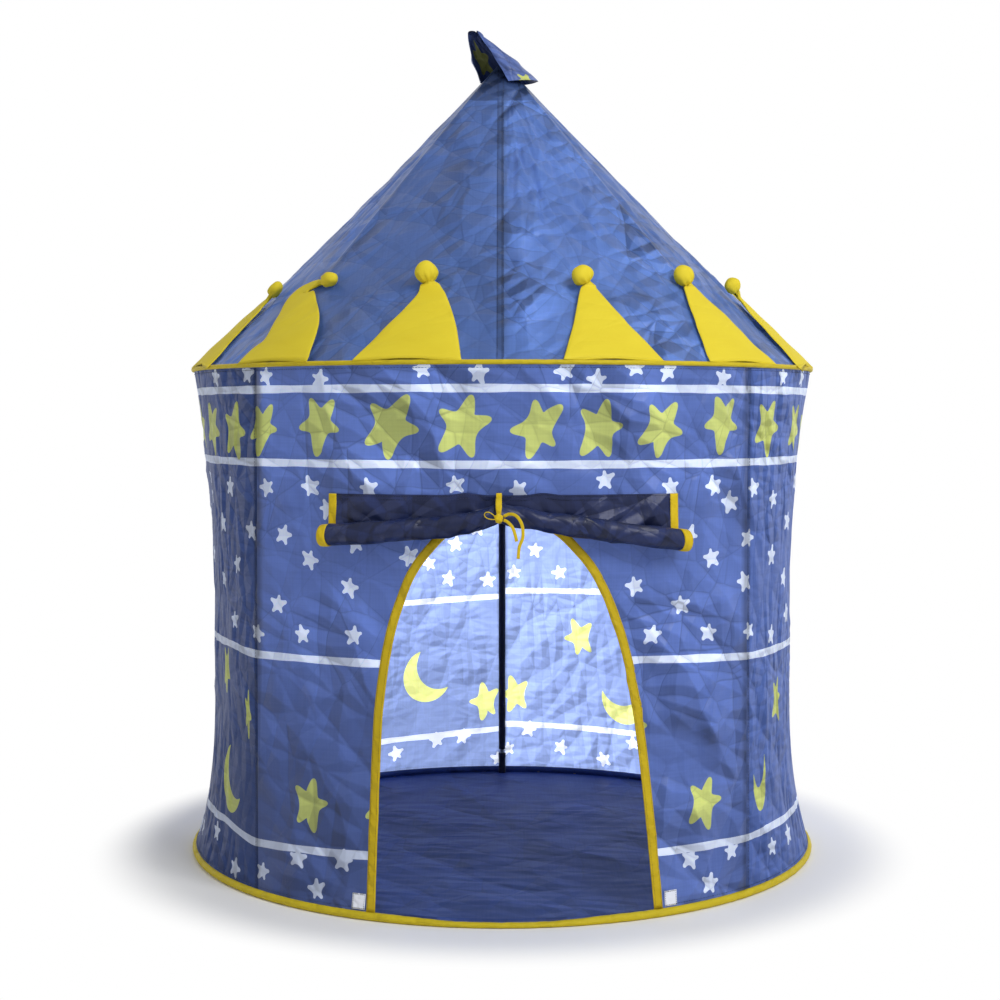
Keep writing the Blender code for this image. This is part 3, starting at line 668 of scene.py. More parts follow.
    unseen_moon: Flat = (33, 0.25)
    small_hollow: float = 0.56
    rear_from: float = 156
    rear_pitch: float = 8.6
    rear_count: int = 6
    rear_rows: tuple[float, ...] = (0.786, 0.624, 0.566)
    unseen_rows: tuple[Flat, ...] = (
        (0.786, 0.012), (0.622, 0.010), (0.560, 0.012), (0.495, 0.012), (0.425, 0.012), (0.048, 0.010))

    def stripe(self, line: Sequence[Flat], radius: float) -> Motif:
        """One stripe all round the tent.

        Args:
            line: its middle as degrees and heights.
            radius: radius that turns angles into metres.

        Returns:
            The stripe.
        """
        at = np.linspace(-184, 184, 369)
        middle = np.interp(at, [a for a, _ in line], [h for _, h in line])
        wobble = 0.0005 * np.sin(at * 0.31) + 0.0003 * np.sin(at * 0.83)
        half = self.stripe_height / 2
        low = list(zip(np.radians(at) * radius, middle - half + wobble))
        high = list(zip(np.radians(at) * radius, middle + half - wobble * 0.6))
        return Motif(Ink.WHITE, tuple([*low, *reversed(high)]))

    def motifs(self, radius: float) -> list[Motif]:
        """Every shape of the print on the walls' flat pattern.

        Args:
            radius: radius that turns angles into metres.

        Returns:
            The shapes.
        """
        rng = random.Random(4)

        def place(at: float, height: float) -> Flat:
            """Angle in degrees and height as a place on the pattern."""
            drawn = at * self.front_draw if abs(at) < self.drawn_within else at
            return (math.radians(drawn) * radius, height)

        made = [self.stripe(((-184, h), (184, h)), radius) for h in self.high_stripes]
        made += [self.stripe(self.middle_stripe, radius), self.stripe(self.low_stripe, radius)]
        for drawn in self.drawn_stars:
            arms = [(turn, reach / 1000) for turn, reach in drawn.arms]
            made.append(star(Ink.YELLOW, place(drawn.at, drawn.height), arms, drawn.narrow))
        band = [drawn.at for drawn in self.drawn_stars if drawn.height > self.band_from]
        rest = 360 - band[-1] + band[0]
        count = round(rest / self.band_pitch)
        for i in range(1, count):
            at = band[-1] + rest / count * i
            arms = uneven_arms(self.big_reach, rng.uniform(0, 72), rng)
            made.append(star(Ink.YELLOW, place(at, self.big_star_height), arms))
        for at, height, belly, narrow in self.moons:
            made.append(moon(Ink.YELLOW, place(at, height), self.moon_radius, math.radians(belly), narrow))
        small = list(self.white_stars)
        for low, high in self.unseen:
            for row, (height, shift) in enumerate(self.unseen_rows):
                for step in range(math.ceil((high - low) / self.unseen_pitch)):
                    at = low + self.unseen_pitch * (step + row % 2 / 2)
                    at += rng.uniform(-self.unseen_scatter, self.unseen_scatter)
                    small.append((at, height + rng.uniform(-shift, shift)))
            for at, height in self.unseen_stars:
                arms = uneven_arms(self.big_reach, rng.uniform(0, 72), rng)
                made.append(star(Ink.YELLOW, place(low + at, height), arms, self.unseen_narrow))
            at, height = self.unseen_moon
            made.append(moon(Ink.YELLOW, place(low + at, height), self.moon_radius, rng.uniform(0, 6)))
        for row, height in enumerate(self.rear_rows):
            for step in range(self.rear_count):
                at = self.rear_from + self.rear_pitch * (step + row % 2 / 2) + math.sin(step * 5 + row)
                small.append((at - 360 if at > 180 else at, height + 0.008 * math.sin(step * 3 + row * 2)))
        for at, height in small:
            arms = uneven_arms(self.small_reach, 90 + rng.uniform(-20, 20), rng)
            made.append(star(Ink.WHITE, place(at, height), arms, 1.0, self.small_hollow))
        wrapped = [Motif(m.ink, tuple((u - math.tau * radius, v) for u, v in m.outline))
                   for m in made if max(u for u, _ in m.outline) > math.pi * radius and len(m.outline) < 200]
        return made + wrapped


# Meshes


def linked(name: str, mesh: bpy.types.Mesh) -> Object:
    """Put a mesh in the scene under a name."""
    piece = bpy.data.objects.new(name, mesh)
    bpy.context.scene.collection.objects.link(piece)
    return piece


def mesh_piece(name: str, points: Array, faces: Sequence[Sequence[int]], flat: Array,
               materials: Sequence[Material], slots: Sequence[int] | None = None) -> Object:
    """Object from points, faces and flat-pattern places at the faces' corners.

    Args:
        name: the piece's name.
        points: rows of x, y and z.
        faces: corner indices of each face, facing outwards.
        flat: flat-pattern places, one for each face corner in turn.
        materials: its materials.
        slots: material index of each face.

    Returns:
        The object.
    """
    mesh = bpy.data.meshes.new(name)
    mesh.from_pydata(np.asarray(points).tolist(), [], [tuple(map(int, face)) for face in faces])
    layer = mesh.uv_layers.new(name=FLAT_MAP)
    layer.data.foreach_set("uv", np.asarray(flat, np.float32).ravel())
    for material in materials:
        mesh.materials.append(material)
    if slots is not None:
        mesh.polygons.foreach_set("material_index", np.asarray(slots, np.int32))
    mesh.shade_smooth()
    mesh.update()
    return linked(name, mesh)


def grid_faces(rows: int, columns: int, closed: bool) -> tuple[Array, Array]:
    """Faces of a grid.

    Args:
        rows: rows of points.
        columns: columns of points.
        closed: whether the last column joins the first.

    Returns:
        Point indices, and flat-place indices in a grid one column wider where it is closed.
    """
    wide = columns + 1 if closed else columns
    r, c = np.meshgrid(np.arange(rows - 1), np.arange(wide - 1), indexing="ij")
    r, c = r.ravel(), c.ravel()
    corners = ((r, c), (r, c + 1), (r + 1, c + 1), (r + 1, c))
    points = np.stack([row * columns + col % columns for row, col in corners], axis=-1)
    flats = np.stack([row * wide + col for row, col in corners], axis=-1)
    return points, flats


def grid_piece(name: str, points: Array, flat: Array, materials: Sequence[Material],
               closed: bool = False, capped: bool = False) -> Object:
    """Cloth over a grid of points.

    Args:
        name: the piece's name.
        points: rows by columns by x, y and z, so that across x up points outwards.
        flat: flat places, one column wider where the grid is closed.
        materials: its materials.
        closed: whether the last column joins the first.
        capped: whether each end row of a closed grid is filled.

    Returns:
        The object.
    """
    rows, columns = points.shape[:2]
    faces, flats = grid_faces(rows, columns, closed)
    places = flat.reshape(-1, 2)
    corner_flats = [places[flats].reshape(-1, 2)]
    all_faces = [tuple(face) for face in faces]
    vertices = points.reshape(-1, 3)
    if capped:
        extra = []
        for row, order in ((0, -1), (rows - 1, 1)):
            ring = list(range(row * columns, row * columns + columns))[::order]
            middle = len(vertices) + len(extra)
            extra.append(points[row].mean(axis=0))
            for a, b in zip(ring, [*ring[1:], ring[0]]):
                all_faces.append((a, b, middle))
                corner_flats.append(np.tile(places[0], (3, 1)))
        vertices = np.concatenate([vertices, extra])
    return mesh_piece(name, vertices, all_faces, np.concatenate(corner_flats), materials)


def ring_piece(name: str, rings: Array, flat: Array, material: Material, turned_out: int = 1) -> Object:
    """Cloth over a grid that closes both ways.

    Args:
        name: the piece's name.
        rings: rows by columns by x, y and z.
        flat: flat places, one row and one column wider.
        material: its material.
        turned_out: 1, or -1 where across x up points inwards.

    Returns:
        The object.
    """
    rows, columns = rings.shape[:2]
    faces, flats = grid_faces(rows + 1, columns, True)
    faces, flats = faces[:, ::turned_out] % (rows * columns), flats[:, ::turned_out]
    return mesh_piece(
        name, rings.reshape(-1, 3), faces, flat.reshape(-1, 2)[flats].reshape(-1, 2), [material])


def sheet_normals(points: Array) -> Array:
    """Outward directions over a grid of points."""
    return unit(np.cross(np.gradient(points, axis=1), np.gradient(points, axis=0)))


def shell_piece(name: str, points: Array, flat: Array, thickness: float, material: Material,
                crown: float = 0.0) -> Object:
    """Thick tape over a grid of points, with rounded edges.

    Args:
        name: the piece's name.
        points: rows by columns by x, y and z on its middle face.
        flat: flat places of the same points.
        thickness: its thickness.
        material: its material.
        crown: how much thicker it is along its middle, as a share.

    Returns:
        The object.
    """
    rows, columns = points.shape[:2]
    normals = sheet_normals(points)
    across = np.linspace(-1, 1, columns)
    edge_thinning, edge_power = 0.45, 6
    half = thickness / 2 * (1 + crown * (1 - across ** 2))
    half = half * (1 - edge_thinning * np.abs(across) ** edge_power)
    outer = points + normals * half[None, :, None]
    inner = (points - normals * half[None, :, None])[:, ::-1]
    ring = np.concatenate([outer, inner], axis=1)
    places = np.concatenate([flat, flat[:, ::-1], flat[:, :1]], axis=1)
    return grid_piece(name, ring, places, [material], closed=True, capped=True)


def tube_piece(name: str, line: Array, radius: Array, sides: int, material: Material,
               squash: float = 1.0, wide: Array | None = None, cyclic: bool = False) -> Object:
    """Round or flat tube along a line.

    Args:
        name: the piece's name.
        line: the points it follows.
        radius: half of its width, at each point or everywhere.
        sides: points of its section.
        material: its material.
        squash: its thickness against its width.
        wide: direction of its width at each point.
        cyclic: whether the line is closed.

    Returns:
        The object.
    """
    if cyclic:
        along = unit(np.roll(line, -1, axis=0) - np.roll(line, 1, axis=0))
    else:
        along = unit(np.gradient(line, axis=0))
    guide = np.array((0.0, 1.0, 0.0)) if wide is None else wide
    broad = unit(np.cross(along, np.broadcast_to(guide, along.shape)) if wide is None else wide)
    thin = unit(np.cross(along, broad))
    turn = full_turn(sides)
    reach = np.broadcast_to(radius, len(line))[:, None, None]
    rings = line[:, None] + reach * (broad[:, None] * np.cos(turn)[None, :, None]
                                     + thin[:, None] * np.sin(turn)[None, :, None] * squash)
    girth = np.linspace(0, 1, sides + 1) * math.pi * float(np.mean(radius)) * (1 + squash)
    if cyclic:
        return ring_piece(name, rings, lattice(girth, run_along([*line, line[0]])), material)
    return grid_piece(name, rings, lattice(girth, run_along(line)), [material], closed=True, capped=True)


@dataclass(frozen=True)
class PrintedSheet:
    """A cloth cut from a flat pattern with shapes printed on it."""

    outline: tuple[Flat, ...]
    motifs: tuple[Motif, ...]
    spacing: float
    row_share: float = 0.87
    scatter: float = 0.2

    def inside(self, rng: random.Random) -> list[Flat]:
        """Points spread over the pattern."""
        us, vs = zip(*self.outline)
        made = []
        rows = math.ceil((max(vs) - min(vs)) / (self.spacing * self.row_share))
        columns = math.ceil((max(us) - min(us)) / self.spacing)
        for row in range(rows):
            for column in range(columns):
                start = 0.25 if row % 2 else 0.75
                u = min(us) + self.spacing * (column + start)
                u += rng.uniform(-self.scatter, self.scatter) * self.spacing
                v = min(vs) + self.spacing * self.row_share * (row + 0.5)
                if u < max(us) and v < max(vs):
                    made.append((u, v))
        return made

    def build(self, name: str, place: Callable[[Array, Array], Array],
              materials: Sequence[Material]) -> Object:
        """Cut the pattern into triangles along its prints and put it in place.

        Args:
            name: the piece's name.
            place: turns flat places into points.
            materials: the ground's material and one for each ink.

        Returns:
            The object.
        """
        points, faces = list(self.outline), [list(range(len(self.outline)))]
        us, vs = zip(*self.outline)
        inks = [Ink.GROUND]
        for motif in self.motifs:
            mu, mv = zip(*motif.outline)
            if max(mu) < min(us) or min(mu) > max(us) or max(mv) < min(vs) or min(mv) > max(vs):
                continue
            faces.append(list(range(len(points), len(points) + len(motif.outline))))
            points += motif.outline
            inks.append(motif.ink)
        points += self.inside(random.Random(7))
        flat, _, triangles, _, _, sources = delaunay_2d_cdt([Vector(p) for p in points], [], faces, 1, 1e-6)
        kept = [(t, s) for t, s in zip(triangles, sources) if 0 in s]
        slots = [max(inks[source].value for source in s) for _, s in kept]
        flat = np.array([tuple(p) for p in flat])
        corners = np.array([t for t, _ in kept])
        used, corners = np.unique(corners, return_inverse=True)
        corners = corners.reshape(-1, 3)
        flat = flat[used]
        spot = place(flat[:, 0], flat[:, 1])
        return mesh_piece(name, spot, corners, flat[corners].reshape(-1, 2), materials, slots)


# Finishes


@dataclass(frozen=True)
class Wire:
    """A value in a shader tree. Sums, products and the like of wires become Math nodes."""

    tree: Tree
    socket: Socket

    def maths(self, operation: str, *others: object) -> "Wire":
        """One Math node on this value and others."""
        return wire(self.tree, "ShaderNodeMath", dict(enumerate((self, *others))), operation=operation)

    def vector(self, operation: str, *others: object, output: int = 0, **named: object) -> "Wire":
        """One Vector Math node on this vector and others."""
        inputs = {**dict(enumerate((self, *others))), **named}
        return wire(self.tree, "ShaderNodeVectorMath", inputs, output, operation=operation)

    def __add__(self, other: object) -> "Wire":
        """Sum."""
        return self.maths("ADD", other)

    def __sub__(self, other: object) -> "Wire":
        """Difference."""
        return self.maths("SUBTRACT", other)

    def __mul__(self, other: object) -> "Wire":
        """Product."""
        return self.maths("MULTIPLY", other)

    def __truediv__(self, other: object) -> "Wire":
        """Quotient."""
        return self.maths("DIVIDE", other)

    def __rtruediv__(self, other: object) -> "Wire":
        """A plain value divided by this one."""
        return wire(self.tree, "ShaderNodeMath", {0: other, 1: self}, operation="DIVIDE")

    def most(self, other: object) -> "Wire":
        """The larger of two values."""
        return self.maths("MAXIMUM", other)

    def least(self, other: object) -> "Wire":
        """The smaller of two values."""
        return self.maths("MINIMUM", other)

    def less(self, share: float) -> "Wire":
        """1 where this value is 0, and 1 - share where it is 1."""
        return self.maths("MULTIPLY_ADD", -share, 1.0)

    def part(self, number: int) -> "Wire":
        """One part of this vector."""
        return wire(self.tree, "ShaderNodeSeparateXYZ", {0: self}, number)

    def ramp(self, low: object, high: object, first: float = 0.0, last: float = 1.0,
             kind: str = "SMOOTHSTEP") -> "Wire":
        """This value brought from one range to another."""
        ends = {0: self, 1: low, 2: high, 3: first, 4: last}
        return wire(self.tree, "ShaderNodeMapRange", ends, interpolation_type=kind)

    def noise(self, scale: object, detail: float, output: int = 0, dimensions: str = "2D") -> "Wire":
        """Noise over this place: its strength, or its colour as output 1."""
        inputs = {"Vector": self, "Scale": scale, "Detail": detail}
        return wire(self.tree, "ShaderNodeTexNoise", inputs, output, noise_dimensions=dimensions)

    def mix(self, first: object, second: object) -> "Wire":
        """Colour between two, at this share."""
        return wire(self.tree, "ShaderNodeMix", {0: self, 6: first, 7: second}, 2, data_type="RGBA")

    def bump(self, distance: float, strength: float = 1.0, **under: "Wire") -> "Wire":
        """Normal of a surface with these heights, over the one given as Normal."""
        return wire(self.tree, "ShaderNodeBump",
                    {"Strength": strength, "Distance": distance, "Height": self, **under})


def join(tree: Tree, value: object, socket: Socket) -> None:
    """Link a wire or socket into a socket, or write a plain value there.

    Args:
        tree: the tree that both are in.
        value: a wire, a socket or a value. A colour may come without its alpha.
        socket: the socket that gets it.
    """
    value = value.socket if isinstance(value, Wire) else value
    if isinstance(value, bpy.types.NodeSocket):
        tree.links.new(value, socket)
    else:
        opaque = socket.type == "RGBA" and len(value) == 3
        socket.default_value = (*value, 1) if opaque else value


def node(tree: Tree, kind: str, inputs: dict | None = None, **settings: object) -> bpy.types.Node:
    """Add a node and fill or join its inputs.

    Args:
        tree: the tree that gets it.
        kind: the node's type.
        inputs: values, wires or sockets by input name or number.
        settings: the node's own properties.

    Returns:
        The node.
    """
    made = tree.nodes.new(kind)
    for name, value in settings.items():
        setattr(made, name, value)
    for name, value in (inputs or {}).items():
        join(tree, value, made.inputs[name])
    return made


def wire(tree: Tree, kind: str, inputs: dict | None = None, output: int | str = 0,
         **settings: object) -> Wire:
    """One output of a new node."""
    return Wire(tree, node(tree, kind, inputs, **settings).outputs[output])


class Effect:
    """A shared effect as a node group, built once and placed in each material with its own values."""

    made: dict[str, Tree] = {}

    @classmethod
    def group(cls, name: str, inputs: dict[str, float], outputs: Sequence[str],
              fill: Callable[..., Sequence[Wire]]) -> Tree:
        """The group of this name.

        Args:
            name: the effect's name.
            inputs: its values by name, after the vector that comes first.
            outputs: names of its results.
            fill: makes the results from the inputs.

        Returns:
            The node group.
        """
        if name not in cls.made:
            tree = bpy.data.node_groups.new(name, "ShaderNodeTree")
            tree.interface.new_socket("Vector", in_out="INPUT", socket_type="NodeSocketVector")
            for label, value in inputs.items():
                tree.interface.new_socket(label, in_out="INPUT", socket_type=FLOAT).default_value = value
            for label in outputs:
                tree.interface.new_socket(label, in_out="OUTPUT", socket_type=FLOAT)
            given = tree.nodes.new("NodeGroupInput").outputs[:len(inputs) + 1]
            leave = tree.nodes.new("NodeGroupOutput")
            for socket, result in zip(leave.inputs, fill(*(Wire(tree, value) for value in given))):
                join(tree, result, socket)
            cls.made[name] = tree
        return cls.made[name]

    @staticmethod
    def place(tree: Tree, group: Tree, **values: object) -> dict[str, Wire]:
        """Put a group in a material.

        Args:
            tree: the material's tree.
            group: the effect.
            values: its inputs, with spaces in their names as underscores.

        Returns:
            Its results by name.
        """
        inputs = {label.replace("_", " "): value for label, value in values.items()}
        made = node(tree, "ShaderNodeGroup", inputs, node_tree=group)
        return {socket.name: Wire(tree, socket) for socket in made.outputs}


def weave() -> Tree:
    """Plain weave with thick and thin yarns: its height, and its tone from 0 to 1."""
    drawn_out, thread_depth = 0.025, 0.03

    def fill(flat: Wire, pitch: Wire, slub: Wire) -> tuple[Wire, Wire]:
        """Join the two yarn directions."""
        tones = [flat.vector("MULTIPLY", along).noise(slub, 2.0)
                 for along in ((1.0, drawn_out, 1.0), (drawn_out, 1.0, 1.0))]
        threads = [(flat.part(axis) * math.tau / pitch).maths("SINE") for axis in (0, 1)]
        tone = (tones[0] + tones[1]) * 0.5
        return threads[0] * threads[1] * thread_depth + tone, tone

    return Effect.group("weave", {"Pitch": 0.0008, "Slub": 260.0}, ("Height", "Tone"), fill)


def crinkle() -> Tree:
    """Flat facets and sharp folds of thin cloth that was packed away: height, and folds from 0 to 1.

    The height is in metres for a facet slope of 1, so that a bump's distance sets the slope.
    """
    swings_lengths_sizes_shares = ((0.0, 0.36, 1.0, 1.0), (1.45, 0.50, 0.62, 0.7), (-0.75, 0.7, 2.3, 0.8))
    warp_scale, patch_scale = 7.0, 5.0

    def fill(flat: Wire, size: Wire, warp: Wire, line: Wire, turn: Wire) -> tuple[Wire, Wire]:
        """Lay facets of three sizes and directions over warped places."""
        tree = flat.tree
        shift = flat.noise(warp_scale, 2.0, 1).vector("SUBTRACT", (0.5, 0.5, 0.5))
        moved = shift.vector("SCALE", Scale=warp)
        place = flat.vector("ADD", moved)
        height, fold = None, None
        for swing, long, grow, share in swings_lengths_sizes_shares:
            spun = wire(tree, "ShaderNodeVectorRotate", {"Vector": place, "Angle": turn + swing},
                        rotation_type="Z_AXIS")
            inputs = {"Vector": spun.vector("MULTIPLY", (1.0, long, 1.0)), "Scale": (1.0 / grow) / size}
            edge = wire(tree, "ShaderNodeTexVoronoi", inputs, voronoi_dimensions="2D",
                        feature="DISTANCE_TO_EDGE")
            near = (edge * (size * grow)).ramp(0.0, line, 1.0, 0.0, "LINEAR") * share
            rise = edge * size * (share * grow)
            height = rise if height is None else height + rise
            fold = near if fold is None else fold.most(near)
        amount = flat.noise(patch_scale, 1.0).ramp(0.32, 0.56, 0.35, 1.0)
        return height * amount, fold * amount

    return Effect.group("crinkle", {"Size": 0.05, "Warp": 0.05, "Line": 0.0011, "Turn": 0.5},
                        ("Height", "Fold"), fill)


def doubled() -> Tree:
    """Strip along a straight seam, from 0 to 1, where the cloth lies double and painted shade is put."""

    def fill(flat: Wire, place: Wire, half: Wire, soft: Wire) -> tuple[Wire]:
        """Measure the distance from the seam."""
        far = (flat.part(0) - place).maths("ABSOLUTE")
        return (far.ramp(half, half + soft, 1.0, 0.0, "LINEAR"),)

    return Effect.group(
        "doubled cloth", {"Place": 0.0, "Half Width": 0.004, "Softness": 0.002}, ("Mask",), fill)


def drift() -> Tree:
    """Slow change over a surface, from 0 to 1, and a finer speckle."""
    finer = 24.0

    def fill(place: Wire, size: Wire) -> tuple[Wire, Wire]:
        """One wide and one fine noise."""
        scale = 1.0 / size
        return place.noise(scale, 3.0, 0, "3D").ramp(0.3, 0.7), place.noise(scale * finer, 2.0, 0, "3D")

    return Effect.group("drift", {"Size": 0.1}, ("Slow", "Fine"), fill)


def new_material(name: str, surface: Callable[[Tree], Wire]) -> Material:
    """Material with a surface of its own.

    Args:
        name: the material's name.
        surface: makes its shader.

    Returns:
        The material.
    """
    material = bpy.data.materials.new(name)
    material.use_nodes = True
    tree = material.node_tree
    tree.nodes.clear()
    output = tree.nodes.new("ShaderNodeOutputMaterial")
    join(tree, surface(tree), output.inputs["Surface"])
    return material


@dataclass(frozen=True)
class Seam:
    """Straight strip along a seam that lies double, with painted shade: middle, half width, soft edge and
    darkness.
    """

    place: float
    half: float
    soft: float
    dark: float


@dataclass(frozen=True)
class Finish:
    """What a piece is made of, with its main colour and the one that it drifts to."""

    name: str
    colour: Colour
    shade: Colour

    def material(self) -> Material:
        """Build the material."""
        return new_material(self.name, self.surface)


@dataclass(frozen=True)
class ClothFinish(Finish):
    """Thin woven cloth: what it reflects, what light it lets through, how it is crumpled, and its painted
    shade.
    """

    glow: Colour
    roughness: float = 0.38
    shine: float = 0.25
    crinkle_size: float = 0.045
    crinkle_slope: float = 0.16
    crinkle_turn: float = 0.5
    crinkle_left: float = 1.0
    # Painted shade along the fold lines, as a share of the way to the deepest colour.
    painted_fold_shade: float = 0.20
    weave_depth: float = 0.00016
    slub: float = 330.0
    # Painted shade towards the bottom of the wall, and the heights between which it fades out.
    painted_low_shade: float = 0.0
    painted_low_shade_ends: Flat = (0.12, 0.46)
    # Painted shade on the left half.
    painted_left_shade: float = 0.0
    left_half: float = 0.03
    # Painted facet shading: its strength, the step towards its fixed light, and its limits.
    painted_facet_shading: float = 0.22
    painted_light_offset: Point = (0.0024, 0.0032, 0.0)
    painted_shading_limits: Flat = (0.45, 1.6)
    # Painted shade in the light let through: cut near the poles, full from here on, over this fade.
    glow_from: float = 0.0
    glow_fade: float = 0.35
    pitch: float = 0.0008
    seams: tuple[Seam, ...] = ()
    # Radius round the apex where a patch lies double and takes painted shade.
    doubled_and_shaded_within: float = 0.0
    # Painted shade on the faces seen from inside.
    painted_inside_shade: float = 0.0
    outer_from: float = 0.0
    outer_fade: float = 0.025
    # Painted shade on the roof beyond the poles.
    painted_side_shade: float = 0.0
    outer_calm: float = 0.55
    # The deepest colour that painted shade reaches, as a share of the cloth's own colour.
    painted_shade_share: float = 0.12

    def darkness(self, flat: Wire, folds: Wire, outer: Wire | None) -> Wire:
        """How far painted shade takes the cloth's colour down to its deepest.

        Args:
            flat: the place on its pattern.
            folds: painted shade along its fold lines.
            outer: where it lies beyond the poles, or nothing.

        Returns:
            0 for its own colour to 1 for the deepest.
        """
        dark = folds
        # Painted shade towards the bottom of the wall, deeper on its left.
        if self.painted_low_shade:
            low = flat.part(1).ramp(*self.painted_low_shade_ends, self.painted_low_shade, 0.0)
            dark = dark.most(low * flat.part(0).ramp(-0.05, 0.05, 1.0, 0.3))
        # Painted shade on the roof beyond the poles.
        if outer:
            dark = dark.most(outer * self.painted_side_shade)
        # Painted shade along seams, where the cloth also lies double.
        for seam in self.seams:
            strip = Effect.place(flat.tree, doubled(), Vector=flat, Place=seam.place, Half_Width=seam.half,
                                 Softness=seam.soft)
            dark = dark.most(strip["Mask"] * seam.dark)
        # Painted shade round the apex, where a patch lies double under the pennant, deepest at the top.
        if self.doubled_and_shaded_within:
            far = flat.vector("LENGTH", output=1)
            near = far.ramp(self.doubled_and_shaded_within, self.doubled_and_shaded_within + 0.002, 1.0, 0.0)
            dark = dark.most(near * far.ramp(0.05, self.doubled_and_shaded_within, 0.8, 0.5))
        # Painted shade on the inside of the cloth.
        if self.painted_inside_shade:
            behind = wire(flat.tree, "ShaderNodeNewGeometry", output="Backfacing")
            dark = dark.most(behind * self.painted_inside_shade)
        return dark

    def surface(self, tree: Tree) -> Wire:
        """Build the cloth's shader.

        Args:
            tree: the material's tree.

        Returns:
            The shader.
        """
        flat = wire(tree, "ShaderNodeUVMap", uv_map=FLAT_MAP)
        threads = Effect.place(tree, weave(), Vector=flat, Pitch=self.pitch, Slub=self.slub)
        crumple = {"Size": self.crinkle_size, "Warp": self.crinkle_size * 0.4, "Turn": self.crinkle_turn}
        folds = Effect.place(tree, crinkle(), Vector=flat, **crumple)
        beside = Effect.place(tree, crinkle(), Vector=flat.vector("ADD", self.painted_light_offset), **crumple)
        slow = Effect.place(tree, drift(), Vector=flat, Size=0.14)["Slow"]
        aside = flat.part(0).maths("ABSOLUTE")
        left = flat.part(0).ramp(-self.left_half, self.left_half, 1.0, 0.0)
        outer = None
        if self.painted_side_shade:
            turn = flat.part(0).maths("ARCTAN2", flat.part(1)).maths("ABSOLUTE")
            outer = turn.ramp(self.outer_from, self.outer_from + self.outer_fade)
            left = left * outer.less(1.0)
        if self.glow_from:
            left = left * aside.ramp(self.glow_from, self.glow_from + self.glow_fade, 1.0, 0.0)
        amount = left.less(1.0 - self.crinkle_left)
        if outer:
            amount = amount * outer.less(self.outer_calm)
        # Painted shading: each facet is lightened or darkened by its slope towards a fixed light up and to
        # the right on its pattern, in the reflected colour and in the light let through.
        fall = (folds["Height"] - beside["Height"]) / math.hypot(*self.painted_light_offset)
        facet = (fall * amount).maths("MULTIPLY_ADD", self.painted_facet_shading, 1.0) * left.less(self.painted_left_shade)
        facet = facet.most(self.painted_shading_limits[0]).least(self.painted_shading_limits[1])
        uneven = slow * 0.45 + threads["Tone"].ramp(0.35, 0.65) * 0.55
        # Painted shade along the fold lines and the other painted shade, from 0 to 1.
        dark = self.darkness(flat, folds["Fold"] * self.painted_fold_shade * amount, outer)
        # Painted shade mixes the colour towards this deepest one; painted facet shading then scales it.
        deep = tuple(value * self.painted_shade_share for value in self.colour)
        colour = dark.mix(uneven.mix(self.colour, self.shade), deep).vector("SCALE", Scale=facet)
        creased = (folds["Height"] * amount).bump(self.crinkle_slope)
        woven = threads["Height"].bump(self.weave_depth, 0.6, Normal=creased)
        rough = threads["Tone"] * 0.12 + (self.roughness - 0.06)
        face = wire(tree, "ShaderNodeBsdfPrincipled", {
            "Base Color": colour, "Roughness": rough, "Specular IOR Level": self.shine, "Normal": woven})
        if not any(self.glow):
            return face
        glow = uneven.mix(self.glow, tuple(value * 0.88 for value in self.glow))
        # Painted shade darkens the light let through as well.
        glow = (dark * 1.3).least(0.95).mix(glow, deep)
        # Painted shade: near the poles the light let through drops to 0.15 of itself.
        if self.glow_from:
            facet = facet * aside.ramp(self.glow_from, self.glow_from + self.glow_fade, 0.15, 1.0)
        through = wire(tree, "ShaderNodeBsdfTranslucent",
                       {"Color": glow.vector("SCALE", Scale=facet), "Normal": woven})
        return wire(tree, "ShaderNodeAddShader", {0: face, 1: through})


@dataclass(frozen=True)
class TapeFinish(Finish):
    """Close-woven binding or stuffed cloth that lets no light through."""

    roughness: float = 0.60
    sheen: float = 0.1
    crinkle_size: float = 0.014
    crinkle_slope: float = 0.18
    weave_depth: float = 0.00012
    pitch: float = 0.0009
    slub: float = 520.0
    fold_line: float = 0.0005

    def surface(self, tree: Tree) -> Wire:
        """Build the tape's shader.

        Args:
            tree: the material's tree.

        Returns:
            The shader.
        """
        flat = wire(tree, "ShaderNodeUVMap", uv_map=FLAT_MAP)
        threads = Effect.place(tree, weave(), Vector=flat, Pitch=self.pitch, Slub=self.slub)
        folds = Effect.place(tree, crinkle(), Vector=flat, Size=self.crinkle_size, Warp=self.crinkle_size,
                             Line=self.fold_line)
        tone = Effect.place(tree, drift(), Vector=flat, Size=0.05)
        colour = (tone["Slow"] * 0.5 + threads["Tone"] * 0.5).mix(self.colour, self.shade)
        creased = folds["Height"].bump(self.crinkle_slope)
        woven = threads["Height"].bump(self.weave_depth, 0.7, Normal=creased)
        return wire(
            tree, "ShaderNodeBsdfPrincipled", {"Base Color": colour,
                "Roughness": tone["Fine"] * 0.14 + (self.roughness - 0.07), "Normal": woven,
                "Sheen Weight": self.sheen, "Specular IOR Level": 0.25})


@dataclass(frozen=True)
class HardFinish(Finish):
    """Pole, wire or moulded fitting: drawn or grained, with rubbed patches in its second colour."""

    roughness: float
    metallic: float = 0.0
    grain: Point = (1.0, 1.0, 0.04)
    grain_scale: float = 900.0
    grain_depth: float = 0.00008

    def surface(self, tree: Tree) -> Wire:
        """Build the fitting's shader.

        Args:
            tree: the material's tree.

        Returns:
            The shader.
        """
        place = wire(tree, "ShaderNodeTexCoord", output="Object")
        streaks = place.vector("MULTIPLY", self.grain).noise(self.grain_scale, 3.0, 0, "3D")
        rub = Effect.place(tree, drift(), Vector=place, Size=0.06)["Slow"]
        return wire(tree, "ShaderNodeBsdfPrincipled", {
            "Base Color": (rub * streaks.ramp(0.4, 0.7)).mix(self.colour, self.shade),
            "Roughness": streaks * 0.2 + (self.roughness - 0.1), "Metallic": self.metallic,
            "Normal": streaks.bump(self.grain_depth, 0.6)})


